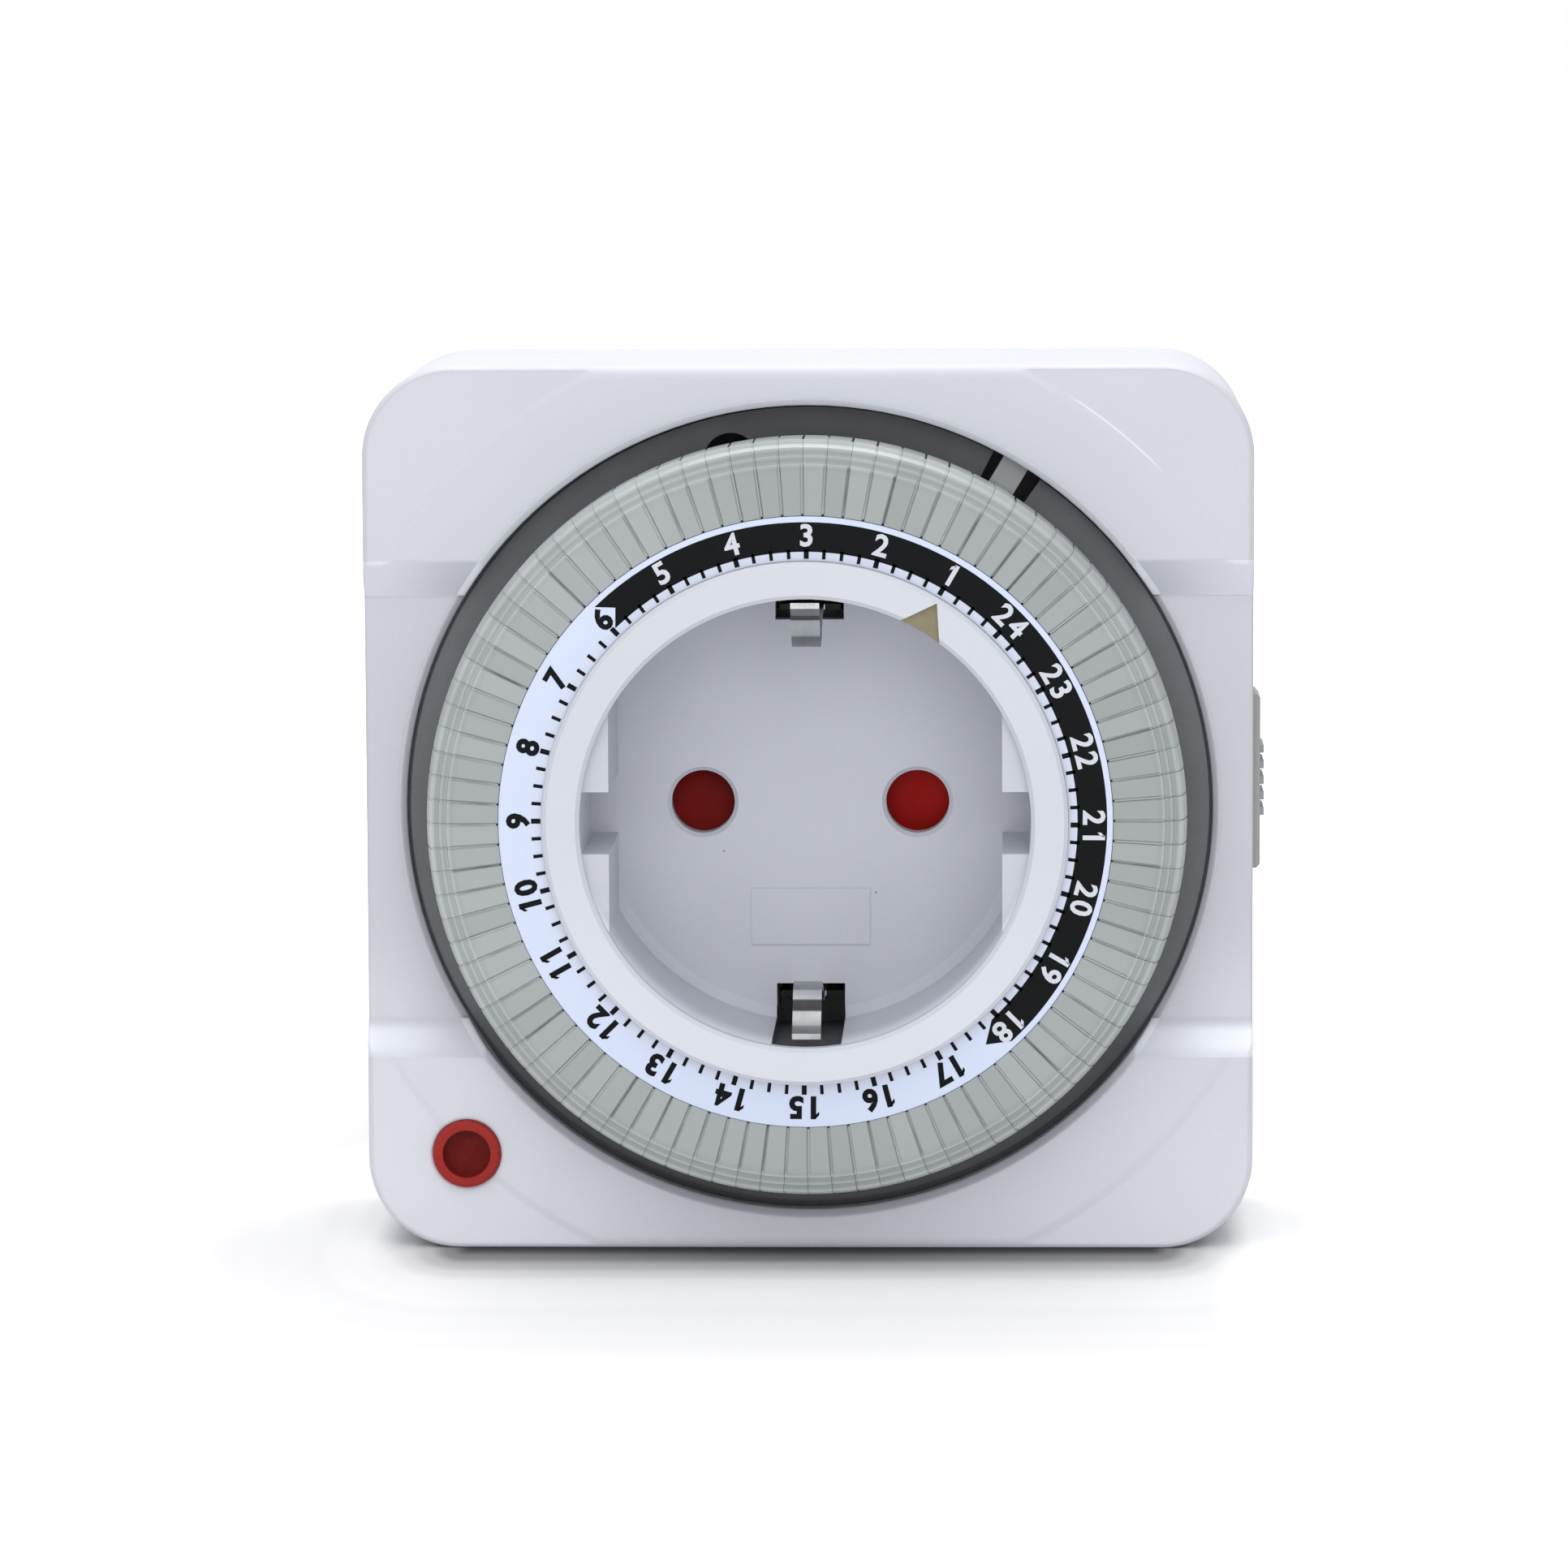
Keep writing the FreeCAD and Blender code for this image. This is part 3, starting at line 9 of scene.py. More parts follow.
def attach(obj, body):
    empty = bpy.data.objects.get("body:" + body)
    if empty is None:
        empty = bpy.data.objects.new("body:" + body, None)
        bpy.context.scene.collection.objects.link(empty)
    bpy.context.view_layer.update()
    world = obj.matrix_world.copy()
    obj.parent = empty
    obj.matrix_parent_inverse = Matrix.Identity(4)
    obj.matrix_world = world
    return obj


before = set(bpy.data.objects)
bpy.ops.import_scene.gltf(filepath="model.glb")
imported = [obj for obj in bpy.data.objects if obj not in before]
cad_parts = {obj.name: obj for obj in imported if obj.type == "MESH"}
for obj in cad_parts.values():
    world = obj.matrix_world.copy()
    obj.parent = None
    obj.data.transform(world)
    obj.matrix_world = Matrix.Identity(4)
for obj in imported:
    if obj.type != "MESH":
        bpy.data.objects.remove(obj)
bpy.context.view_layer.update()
print("frame loaded:", len(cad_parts), "nodes")


# Camera

camera = {
    "place": (0.018013, -0.683638, 0.074450),
    "yaw": 1.8118,
    "pitch": 6.4426,
    "roll": -0.2534,
    "lens": 167.94,
    "sensor": 36.0,
    "near": 0.01,
    "far": 20.0,
}


def setCamera():
    data = bpy.data.cameras.new("photoCamera")
    data.sensor_fit = "HORIZONTAL"
    data.sensor_width = camera["sensor"]
    data.lens = camera["lens"]
    data.clip_start = camera["near"]
    data.clip_end = camera["far"]
    eye = bpy.data.objects.new("photoCamera", data)
    yaw = Matrix.Rotation(math.radians(camera["yaw"]), 4, "Z")
    pitch = Matrix.Rotation(math.radians(90.0 - camera["pitch"]), 4, "X")
    roll = Matrix.Rotation(math.radians(camera["roll"]), 4, "Z")
    eye.matrix_world = Matrix.Translation(camera["place"]) @ yaw @ pitch @ roll
    bpy.context.scene.collection.objects.link(eye)
    bpy.context.scene.camera = eye


setCamera()
print("camera set")


# Shader building

class Wire:
    # One output socket that can be used in sums
    def __init__(self, finish, socket):
        self.finish = finish
        self.socket = socket

    def maths(self, operation, first, second):
        return self.finish.add("ShaderNodeMath", {"operation": operation}, {0: first, 1: second})

    def __add__(self, other):
        return self.maths("ADD", self, other)

    def __radd__(self, other):
        return self.maths("ADD", other, self)

    def __sub__(self, other):
        return self.maths("SUBTRACT", self, other)

    def __rsub__(self, other):
        return self.maths("SUBTRACT", other, self)

    def __mul__(self, other):
        return self.maths("MULTIPLY", self, other)

    def __rmul__(self, other):
        return self.maths("MULTIPLY", other, self)

    def __truediv__(self, other):
        return self.maths("DIVIDE", self, other)

    def __rtruediv__(self, other):
        return self.maths("DIVIDE", other, self)

    def __gt__(self, other):
        return self.maths("GREATER_THAN", self, other)

    def __lt__(self, other):
        return self.maths("LESS_THAN", self, other)


class Finish:
    # One material: fixed numbers sit on the shader's own sockets, patterns are linked to it
    def __init__(self, name, fixed):
        self.material = bpy.data.materials.new(name)
        self.material.use_nodes = True
        self.tree = self.material.node_tree
        self.shader = self.tree.nodes["Principled BSDF"]
        for socket, value in fixed.items():
            self.shader.inputs[socket].default_value = value
        self.place = self.add("ShaderNodeTexCoord", {}, {}, "Object")

    def add(self, kind, settings, inputs, outlet=0):
        node = self.tree.nodes.new(kind)
        for key, value in settings.items():
            setattr(node, key, value)
        for key, value in inputs.items():
            if isinstance(value, Wire):
                self.tree.links.new(value.socket, node.inputs[key])
            else:
                node.inputs[key].default_value = value
        return Wire(self, node.outputs[outlet])

    def grain(self, scale, detail=2.0, stretch=(1.0, 1.0, 1.0)):
        where = self.place
        if stretch != (1.0, 1.0, 1.0):
            where = self.add("ShaderNodeMapping", {}, {"Vector": where, "Scale": stretch})
        inputs = {"Vector": where, "Scale": scale, "Detail": detail}
        return self.add("ShaderNodeTexNoise", {}, inputs, "Fac")

    def ease(self, value, low, high, first=0.0, last=1.0):
        settings = {"interpolation_type": "SMOOTHSTEP"}
        inputs = {"Value": value, "From Min": low, "From Max": high, "To Min": first, "To Max": last}
        return self.add("ShaderNodeMapRange", settings, inputs)

    def blend(self, mask, first, second):
        settings = {"data_type": "RGBA"}
        return self.add("ShaderNodeMix", settings, {0: mask, 6: first, 7: second}, 2)

    def along(self, axis):
        # the place on the piece along one axis
        return self.add("ShaderNodeSeparateXYZ", {}, {0: self.place}, axis)

    def bearing(self, x, z):
        # degrees, clockwise from the top
        turn = self.add("ShaderNodeMath", {"operation": "ARCTAN2"}, {0: x, 1: z})
        return turn * math.degrees(1.0)

    def reach(self, across, up):
        # distance from the middle of two directions, as from the dial's axis
        square = across * across + up * up
        return self.add("ShaderNodeMath", {"operation": "SQRT"}, {0: square})

    def specks(self, scale, size, soft, share):
        # small round marks, soft at their edges, in a share of the cells
        inputs = {"Vector": self.place, "Scale": scale, "Randomness": 1.0}
        distance = self.add("ShaderNodeTexVoronoi", {"feature": "F1"}, inputs, "Distance")
        cell = Wire(self, distance.socket.node.outputs["Color"])
        pick = self.add("ShaderNodeSeparateColor", {}, {0: cell}, "Red")
        return self.ease(distance, size, size * soft) * (pick < share)

    def levels(self, value, low, high, table):
        # eased levels at the places of the table, all between low and high
        share = self.add("ShaderNodeMapRange", {}, {"Value": value, "From Min": low, "From Max": high})
        chart = self.add("ShaderNodeValToRGB", {}, {"Fac": share})
        ramp = chart.socket.node.color_ramp
        for step, (place, level) in enumerate(table):
            where = (place - low) / (high - low)
            # a new ramp has two stops
            stop = ramp.elements[step] if step < 2 else ramp.elements.new(where)
            stop.position = where
            stop.color = (level, level, level, 1.0)
        ramp.interpolation = "EASE"
        return chart

    def shaded(self, colour, factor):
        return self.add("ShaderNodeVectorMath", {"operation": "SCALE"}, {0: colour, "Scale": factor})

    def size(self, value):
        # the number without its sign
        return self.add("ShaderNodeMath", {"operation": "ABSOLUTE"}, {0: value})

    def feed(self, socket, wire):
        self.tree.links.new(wire.socket, self.shader.inputs[socket])

    def bump(self, height, strength, distance, rolled=0.0):
        inputs = {"Height": height, "Strength": strength, "Distance": distance}
        if rolled:
            # sharp corners catch the light as if they were rolled to this radius
            inputs["Normal"] = self.add("ShaderNodeBevel", {"samples": 4}, {"Radius": rolled})
        self.feed("Normal", self.add("ShaderNodeBump", {}, inputs, "Normal"))


def tone(colour, factor):
    return (colour[0] * factor, colour[1] * factor, colour[2] * factor, 1.0)


plasticLook = {
    "ior": 1.47, "cloud": (0.3, 0.7), "detail": 3.0, "fine": (0.35, 0.75), "grime": 0.72,
    "dustScale": 520.0, "dustSize": 0.075, "dustSoft": 0.6, "dustCover": 0.75,
    "dustColour": (0.12, 0.11, 0.10, 1.0),
    "wearScale": 2.3, "wearRough": 0.16, "fineRough": 0.10,
    "coarseScale": 0.3, "coarseShare": 0.7, "reliefDepth": 0.00006,
}


def mouldedPlastic(name, look, shade=None, rolled=0.0):
    # Injection-moulded plastic: clouded colour, fine spark-eroded grain, a little dust
    finish = Finish(name, {"Specular IOR Level": look["gloss"], "IOR": plasticLook["ior"]})
    cloud = finish.grain(look["cloudScale"], plasticLook["detail"])
    cloud = finish.ease(cloud, *plasticLook["cloud"])
    base = finish.blend(cloud, tone(look["colour"], 1.0 - look["unevenness"]),
                        tone(look["colour"], 1.0 + look["unevenness"]))
    fine = finish.grain(look["grainScale"], plasticLook["detail"])
    base = finish.blend(finish.ease(fine, *plasticLook["fine"], 0.0, look["mottle"]), base,
                        tone(look["colour"], plasticLook["grime"]))
    if look["dust"]:
        dust = finish.specks(plasticLook["dustScale"], plasticLook["dustSize"], plasticLook["dustSoft"],
                             look["dust"])
        base = finish.blend(dust * plasticLook["dustCover"], base, plasticLook["dustColour"])
    if shade:
        base = finish.shaded(base, shade(finish))
    finish.feed("Base Color", base)
    worn = (finish.grain(look["cloudScale"] * plasticLook["wearScale"]) - 0.5) * plasticLook["wearRough"]
    finish.feed("Roughness", look["rough"] + worn + (fine - 0.5) * plasticLook["fineRough"])
    coarse = finish.grain(look["grainScale"] * plasticLook["coarseScale"]) * plasticLook["coarseShare"]
    finish.bump(fine + coarse, look["relief"], plasticLook["reliefDepth"], rolled)
    return finish


# Light and shade on single pieces. A range is its low and high place, then the levels there

coverLook = {
    "face": -0.0444, "faceSoft": 0.0002, "flat": 0.0187, "edge": 0.0219, "rolled": 0.0005,
    "scoopLevel": 0.93, "scoopMiddle": 0.009, "scoopTop": 0.015,
    "scoopSides": (0.0315, 0.0370, 0.0, 0.11),
    "upperSides": (0.030, 0.0375, 1.03, 1.17),
    "lowerSides": (0.0305, 0.0365, 0.10, 0.34), "lowerRight": 0.18,
    "lowerTop": (-0.0188, -0.0199), "lowerFoot": (-0.0221, -0.0207, 0.45, 1.0),
    "below": (-0.0219, -0.036, 1.04, 1.10), "belowLeft": (-0.012, -0.030, 0.0, 0.05),
    "lipEnd": (0.0361, 0.0362), "lipLight": (-0.030, -0.012, 0.85, 1.38),
    "crease": 0.04288, "creaseLine": (0.00013, 0.0, 0.0, 0.30),
    "creaseStart": (31.5, 34.5), "creaseEnd": (47.0, 44.0),
}


def coverShade(finish):
    # soft light and shade in the scoop, on its two ramps and round the opening
    look = coverLook
    flat = look["flat"]
    edge = look["edge"]
    x = finish.along("X")
    y = finish.along("Y")
    z = finish.along("Z")
    side = finish.size(x)
    height = finish.size(z)
    # the scoop is a shade darker, less so at its top and at the sides of its foot
    gain = finish.ease(z, look["scoopMiddle"], flat, 0.0, look["scoopTop"])
    gain = gain + finish.ease(z, -look["scoopMiddle"], -flat) * finish.ease(side, *look["scoopSides"])
    scoop = (gain + look["scoopLevel"]) * (height < flat)
    # the ramps catch more light towards the sides
    upper = finish.ease(side, *look["upperSides"]) * (z > flat) * (z < edge)
    glow = finish.ease(side, *look["lowerSides"]) + (x > 0.0) * look["lowerRight"]
    fade = finish.ease(z, *look["lowerFoot"])
    lower = finish.ease(z, *look["lowerTop"]) * glow * fade + 1.0
    lower = lower * (z < -flat) * (z > -edge)
    # painted light on the face below the scoop, more towards its foot and its left
    below = finish.ease(z, *look["below"]) + finish.ease(x, *look["belowLeft"])
    rest = (height > edge) * (z > 0.0) + (z < -edge) * below
    front = scoop + upper + lower + rest
    # the lip round the opening is lit from below
    lit = finish.ease(z, *look["lipLight"])
    reach = finish.reach(x, z)
    lip = finish.ease(reach, *look["lipEnd"], lit, 1.0)
    seen = finish.ease(y, look["face"], look["face"] - look["faceSoft"])
    # the crease at the upper right corner catches the light
    crease = finish.ease(finish.size(reach - look["crease"]), *look["creaseLine"])
    bearing = finish.bearing(x, z)
    crease = crease * finish.ease(bearing, *look["creaseStart"])
    crease = crease * finish.ease(bearing, *look["creaseEnd"])
    return (front * lip - 1.0) * seen + crease + 1.0


wellLight = {
    "wall": (0.0191, 0.0194), "wallLow": (-0.004, -0.014), "rim": (-0.0500, -0.0575, 0.0, 0.55),
    "floorEnd": 0.0185, "floorLow": (-0.002, -0.012, 0.0, 0.07),
    "notchHalf": 0.00305, "notchTop": -0.0170, "notchDark": 0.82,
}


def wellShade(finish):
    # painted light on the lower wall near its rim, and painted shade in the notch of the lower earth
    # slot
    x = finish.along("X")
    y = finish.along("Y")
    z = finish.along("Z")
    reach = finish.reach(x, z)
    wall = finish.ease(reach, *wellLight["wall"]) * finish.ease(z, *wellLight["wallLow"])
    lit = finish.ease(y, *wellLight["rim"]) * wall + 1.0
    notch = (finish.size(x) < wellLight["notchHalf"]) * (z < wellLight["notchTop"])
    notch = notch * (reach > wellLight["floorEnd"])
    # painted shade on the lower part of the well's floor
    low = finish.ease(z, *wellLight["floorLow"]) * (reach < wellLight["floorEnd"])
    return lit - notch * wellLight["notchDark"] - low


ringLight = (0.024, 0.0345, 1.0, 0.55)


def chassisShade(finish):
    # the top of the dark ring lies in the shade of the cover
    return finish.ease(finish.along("Z"), *ringLight)


collarLight = (-0.021, 0.0, 1.05, 0.96)


def collarShade(finish):
    # the collar catches more light at its foot
    return finish.ease(finish.along("Z"), *collarLight)


shutterLight = (-0.009, 0.009, 0.74, 1.50)


def shutterShade(finish):
    # the light reaches further into the right-hand hole
    return finish.ease(finish.along("X"), *shutterLight)


# Finishes of the housing, the dial and the parts behind them

housingLook = {"colour": (0.622, 0.638, 0.700), "unevenness": 0.012, "mottle": 0.05, "cloudScale": 45.0,
               "grainScale": 3600.0, "rough": 0.52, "gloss": 0.40, "relief": 0.16, "dust": 0.006}
collarLook = {"colour": (0.645, 0.668, 0.735), "unevenness": 0.010, "mottle": 0.03, "cloudScale": 60.0,
              "grainScale": 3800.0, "rough": 0.42, "gloss": 0.45, "relief": 0.08, "dust": 0.004}
wellLook = {"colour": (0.575, 0.593, 0.650), "unevenness": 0.015, "mottle": 0.05, "cloudScale": 70.0,
            "grainScale": 3600.0, "rough": 0.50, "gloss": 0.40, "relief": 0.12, "dust": 0.012}
dialLook = {"colour": (0.40, 0.42, 0.43), "unevenness": 0.03, "mottle": 0.05, "cloudScale": 120.0,
            "grainScale": 4200.0, "rough": 0.50, "gloss": 0.40, "relief": 0.12, "dust": 0.0}
chassisLook = {"colour": (0.135, 0.142, 0.156), "unevenness": 0.05, "mottle": 0.10, "cloudScale": 110.0,
               "grainScale": 3200.0, "rough": 0.48, "gloss": 0.45, "relief": 0.18, "dust": 0.006}
carrierLook = {"colour": (0.075, 0.078, 0.085), "unevenness": 0.06, "mottle": 0.10, "cloudScale": 140.0,
               "grainScale": 3400.0, "rough": 0.50, "gloss": 0.40, "relief": 0.20, "dust": 0.0}
shutterLook = {"colour": (0.225, 0.006, 0.005), "unevenness": 0.06, "mottle": 0.06, "cloudScale": 160.0,
               "grainScale": 3600.0, "rough": 0.50, "gloss": 0.07, "relief": 0.10, "dust": 0.0}
gearLook = {"colour": (0.74, 0.73, 0.68), "unevenness": 0.03, "mottle": 0.05, "cloudScale": 150.0,
            "grainScale": 2600.0, "rough": 0.38, "gloss": 0.50, "relief": 0.08, "dust": 0.0}
switchLook = {"colour": (0.022, 0.022, 0.024), "unevenness": 0.10, "mottle": 0.12, "cloudScale": 150.0,
              "grainScale": 3000.0, "rough": 0.46, "gloss": 0.45, "relief": 0.22, "dust": 0.0}
leverLook = {"colour": (0.33, 0.35, 0.36), "unevenness": 0.04, "mottle": 0.06, "cloudScale": 180.0,
             "grainScale": 3600.0, "rough": 0.40, "gloss": 0.45, "relief": 0.10, "dust": 0.0}
knobLook = {"colour": (0.335, 0.345, 0.335), "unevenness": 0.03, "mottle": 0.10, "cloudScale": 160.0,
            "grainScale": 2800.0, "rough": 0.50, "gloss": 0.40, "relief": 0.25, "dust": 0.0}
pointerLook = {"colour": (0.235, 0.212, 0.130), "unevenness": 0.05, "mottle": 0.16, "cloudScale": 500.0,
               "grainScale": 3000.0, "rough": 0.46, "gloss": 0.35, "relief": 0.14, "dust": 0.0}

housing = mouldedPlastic("housingPlastic", housingLook, None, coverLook["rolled"])
cover = mouldedPlastic("coverPlastic", housingLook, coverShade, coverLook["rolled"])
collar = mouldedPlastic("collarPlastic", collarLook, collarShade)
well = mouldedPlastic("wellPlastic", wellLook, wellShade)
dial = mouldedPlastic("dialPlastic", dialLook)
chassis = mouldedPlastic("chassisPlastic", chassisLook, chassisShade)
carrier = mouldedPlastic("carrierPlastic", carrierLook)
shutter = mouldedPlastic("shutterPlastic", shutterLook, shutterShade)
gear = mouldedPlastic("gearPlastic", gearLook)
switch = mouldedPlastic("switchPlastic", switchLook)
lever = mouldedPlastic("leverPlastic", leverLook)
knob = mouldedPlastic("knobPlastic", knobLook)
pointer = mouldedPlastic("pointerPlastic", pointerLook)
print("plain plastics made")


# The tabs: each one is a shade off its neighbours, and their ends are polished by fingers

tabLook = {
    "colour": (0.378, 0.405, 0.410), "spread": 0.09, "lighter": 0.4, "gapBearing": -0.3, "pitch": 3.75,
    "gloss": 0.45, "ior": 1.47, "grainScale": 3800.0, "grainDetail": 3.0, "grain": (0.3, 0.8, 0.0, 0.05),
    "grime": 0.7, "aside": (0.004, 0.030, 1.95, 1.79),
    "rough": 0.40, "grainRough": 0.12, "thumbed": (0.0305, 0.0325, 0.0, 0.08),
    "relief": 0.10, "reliefDepth": 0.00005, "slope": (0.030, 0.0334),
    # painted light and shade on the steps at the tab ends, by distance from the axis
    "steps": ((0.0302, 0.5), (0.0307, 0.47), (0.03105, 0.60), (0.0314, 0.44), (0.03174, 0.58),
              (0.03204, 0.44), (0.03243, 0.62), (0.0327, 0.54), (0.0332, 0.64)),
}


def tabPlastic():
    look = tabLook
    finish = Finish("tabPlastic", {"Specular IOR Level": look["gloss"], "IOR": look["ior"]})
    x = finish.along("X")
    z = finish.along("Z")
    count = (finish.bearing(x, z) - look["gapBearing"]) / look["pitch"]
    index = finish.add("ShaderNodeMath", {"operation": "FLOOR"}, {0: count})
    chance = finish.add("ShaderNodeTexWhiteNoise", {"noise_dimensions": "1D"}, {"W": index}, "Value")
    base = finish.blend(chance, tone(look["colour"], 1.0 - look["spread"]),
                        tone(look["colour"], 1.0 + look["spread"] * look["lighter"]))
    fine = finish.grain(look["grainScale"], look["grainDetail"])
    base = finish.blend(finish.ease(fine, *look["grain"]), base, tone(look["colour"], look["grime"]))
    reach = finish.reach(x, z)
    # painted shade in the corners of the steps at the tab ends, and painted light on their edges
    steps = finish.levels(reach, *look["slope"], look["steps"])
    # the light comes a little more from below left
    aside = finish.ease(x + z, *look["aside"])
    finish.feed("Base Color", finish.shaded(base, steps * aside))
    thumbed = finish.ease(reach, *look["thumbed"])
    finish.feed("Roughness", look["rough"] + (fine - 0.5) * look["grainRough"] - thumbed)
    finish.bump(fine, look["relief"], look["reliefDepth"])
    return finish


tab = tabPlastic()


# The printed scale: white lacquer, a shade bluer outside the line of the ticks

scaleLook = {
    "paper": (0.650, 0.694, 0.825), "blue": (0.630, 0.705, 0.885), "blueFrom": (0.0230, 0.0243),
    "gloss": 0.45, "rough": 0.34, "flowRough": 0.2, "flowScale": 900.0, "flowDetail": 3.0,
    "flow": (0.4, 0.8, 0.0, 0.06), "flowDark": 0.8, "relief": 0.06, "reliefDepth": 0.00004,
}
inkLook = {
    "dark": (0.0060, 0.0068, 0.0075), "darkRough": 0.55, "darkThin": 1.5,
    "light": (0.66, 0.69, 0.76), "lightRough": 0.36, "lightThin": 0.86,
    "ior": 1.5, "gloss": 0.06, "thinScale": 2600.0, "thinDetail": 3.0, "thin": (0.45, 0.85, 0.0, 0.25),
    "smearScale": 700.0, "smearRough": 0.15, "relief": 0.08, "reliefDepth": 0.00003,
}


def printedScale():
    look = scaleLook
    finish = Finish("printedScale", {"Specular IOR Level": look["gloss"], "IOR": inkLook["ior"]})
    x = finish.along("X")
    z = finish.along("Z")
    outside = finish.ease(finish.reach(x, z), *look["blueFrom"])
    base = finish.blend(outside, (*look["paper"], 1.0), (*look["blue"], 1.0))
    flow = finish.grain(look["flowScale"], look["flowDetail"])
    base = finish.blend(finish.ease(flow, *look["flow"]), base, tone(look["paper"], look["flowDark"]))
    finish.feed("Base Color", base)
    finish.feed("Roughness", look["rough"] + (flow - 0.5) * look["flowRough"])
    finish.bump(flow, look["relief"], look["reliefDepth"])
    return finish


def printInk(name, shade):
    # screen print: slightly thin in places, with a soft gloss
    look = inkLook
    finish = Finish(name, {"Specular IOR Level": look["gloss"], "IOR": look["ior"]})
    thin = finish.grain(look["thinScale"], look["thinDetail"])
    base = finish.blend(finish.ease(thin, *look["thin"]), (*look[shade], 1.0),
                        tone(look[shade], look[shade + "Thin"]))
    finish.feed("Base Color", base)
    smear = (finish.grain(look["smearScale"]) - 0.5) * look["smearRough"]
    finish.feed("Roughness", look[shade + "Rough"] + smear)
    finish.bump(thin, look["relief"], look["reliefDepth"])
    return finish


scale = printedScale()
darkInk = printInk("darkInk", "dark")
lightInk = printInk("lightInk", "light")
print("tab and scale finishes made")


# Metals

metalLook = {
    "lineDetail": 3.0, "lines": (0.3, 0.7, 0.0, 0.14), "lineDark": 0.62, "lineRough": 0.18,
    "patchDetail": 4.0, "patches": (0.42, 0.72), "patchRough": 0.12, "reliefDepth": 0.00003,
}


def metal(name, look, shade=None):
    # rolled, drawn or turned metal: fine lines along one way, tarnish in soft patches
    finish = Finish(name, {"Metallic": 1.0})
    lines = finish.grain(look["lineScale"], metalLook["lineDetail"], look["stretch"])
    patches = finish.grain(look["patchScale"], metalLook["patchDetail"])
    patches = finish.ease(patches, *metalLook["patches"])
    base = finish.blend(patches * look["tarnish"], (*look["colour"], 1.0), (*look["dull"], 1.0))
    base = finish.blend(finish.ease(lines, *metalLook["lines"]), base,
                        tone(look["colour"], metalLook["lineDark"]))
    if shade:
        base = finish.shaded(base, shade(finish))
    finish.feed("Base Color", base)
    finish.feed("Roughness", look["rough"] + (lines - 0.5) * metalLook["lineRough"]
                + patches * metalLook["patchRough"])
    finish.bump(lines, look["relief"], metalLook["reliefDepth"])
    return finish


earthLook = {
    "low": 0.0148, "high": 0.0195, "tongue": (0.00128, 0.00134), "bright": 2.0, "foot": 0.03,
    "upper": ((0.0148, 0.30), (0.0157, 0.34), (0.0160, 0.80), (0.0173, 0.80), (0.01745, 0.16),
              (0.01775, 0.16), (0.0179, 0.42), (0.0195, 0.36)),
    "lower": ((0.0148, 0.42), (0.0151, 0.42), (0.0153, 0.95), (0.0158, 0.90), (0.0160, 0.10),
              (0.0167, 0.08), (0.0169, 0.62), (0.0178, 0.60), (0.0180, 0.36), (0.0195, 0.34)),
}


def earthShade(finish):
    # painted reflections in bands down each tongue, and painted shade on the wide feet beside it
    look = earthLook
    x = finish.along("X")
    z = finish.along("Z")
    upper = finish.levels(z, look["low"], look["high"], look["upper"]) * (z > 0.0)
    lower = finish.levels(z * -1.0, look["low"], look["high"], look["lower"]) * (z < 0.0)
    reflectionBands = (upper + lower) * look["bright"]
    return finish.ease(finish.size(x), *look["tongue"], reflectionBands, look["foot"])


pinLook = {
    "colour": (0.66, 0.65, 0.61), "dull": (0.40, 0.38, 0.34), "lineScale": 1500.0,
    "stretch": (0.3, 4.0, 0.3), "patchScale": 260.0, "tarnish": 0.35, "rough": 0.22, "relief": 0.10,
}
stripLook = {
    "colour": (0.52, 0.535, 0.54), "dull": (0.26, 0.27, 0.27), "lineScale": 2200.0,
    "stretch": (3.0, 0.3, 0.3), "patchScale": 300.0, "tarnish": 0.5, "rough": 0.34, "relief": 0.16,
}
contactLook = {
    "colour": (0.62, 0.42, 0.16), "dull": (0.33, 0.20, 0.09), "lineScale": 1800.0,
    "stretch": (0.4, 0.4, 3.5), "patchScale": 220.0, "tarnish": 0.6, "rough": 0.30, "relief": 0.12,
}
brassLook = {
    "colour": (0.66, 0.46, 0.18), "dull": (0.38, 0.24, 0.10), "lineScale": 2600.0,
    "stretch": (0.4, 4.0, 0.4), "patchScale": 320.0, "tarnish": 0.3, "rough": 0.24, "relief": 0.12,
}
screwLook = {
    "colour": (0.50, 0.51, 0.52), "dull": (0.30, 0.30, 0.29), "lineScale": 2400.0,
    "stretch": (1.0, 0.4, 1.0), "patchScale": 420.0, "tarnish": 0.5, "rough": 0.34, "relief": 0.20,
}
motorLook = {
    "colour": (0.52, 0.53, 0.54), "dull": (0.36, 0.37, 0.36), "lineScale": 900.0,
    "stretch": (0.3, 5.0, 0.3), "patchScale": 150.0, "tarnish": 0.5, "rough": 0.38, "relief": 0.14,
}

pin = metal("nickelPin", pinLook)
earth = metal("nickelStrip", stripLook, earthShade)
contact = metal("brassStrip", contactLook)
brass = metal("turnedBrass", brassLook)
screw = metal("zincScrew", screwLook)
motor = metal("motorCan", motorLook)
print("metals made")


# Lamp and wires

lensLook = {
    "x": -0.03025, "z": -0.03045, "well": (0.0020, 0.0022), "rim": (0.40, 0.030, 0.026, 1.0),
    "middle": (0.170, 0.0035, 0.002, 1.0), "gloss": 0.06, "ior": 1.49, "clear": 0.10,
    "swirlScale": 900.0, "swirl": (0.3, 0.7), "swirlShare": 0.25,
    "swirlColour": (0.20, 0.030, 0.022, 1.0),
    "rough": 0.20, "swirlRough": 0.12, "grainScale": 1800.0, "relief": 0.08, "reliefDepth": 0.00004,
}
bulbLook = {
    "ior": 1.5, "clear": 0.6, "gloss": 0.5, "hazeScale": 500.0, "hazeDetail": 3.0, "haze": (0.35, 0.75),
    "glass": (0.85, 0.62, 0.50, 1.0), "film": (0.60, 0.36, 0.26, 1.0), "rough": 0.06, "hazeRough": 0.14,
    "relief": 0.05, "reliefDepth": 0.00004,
}
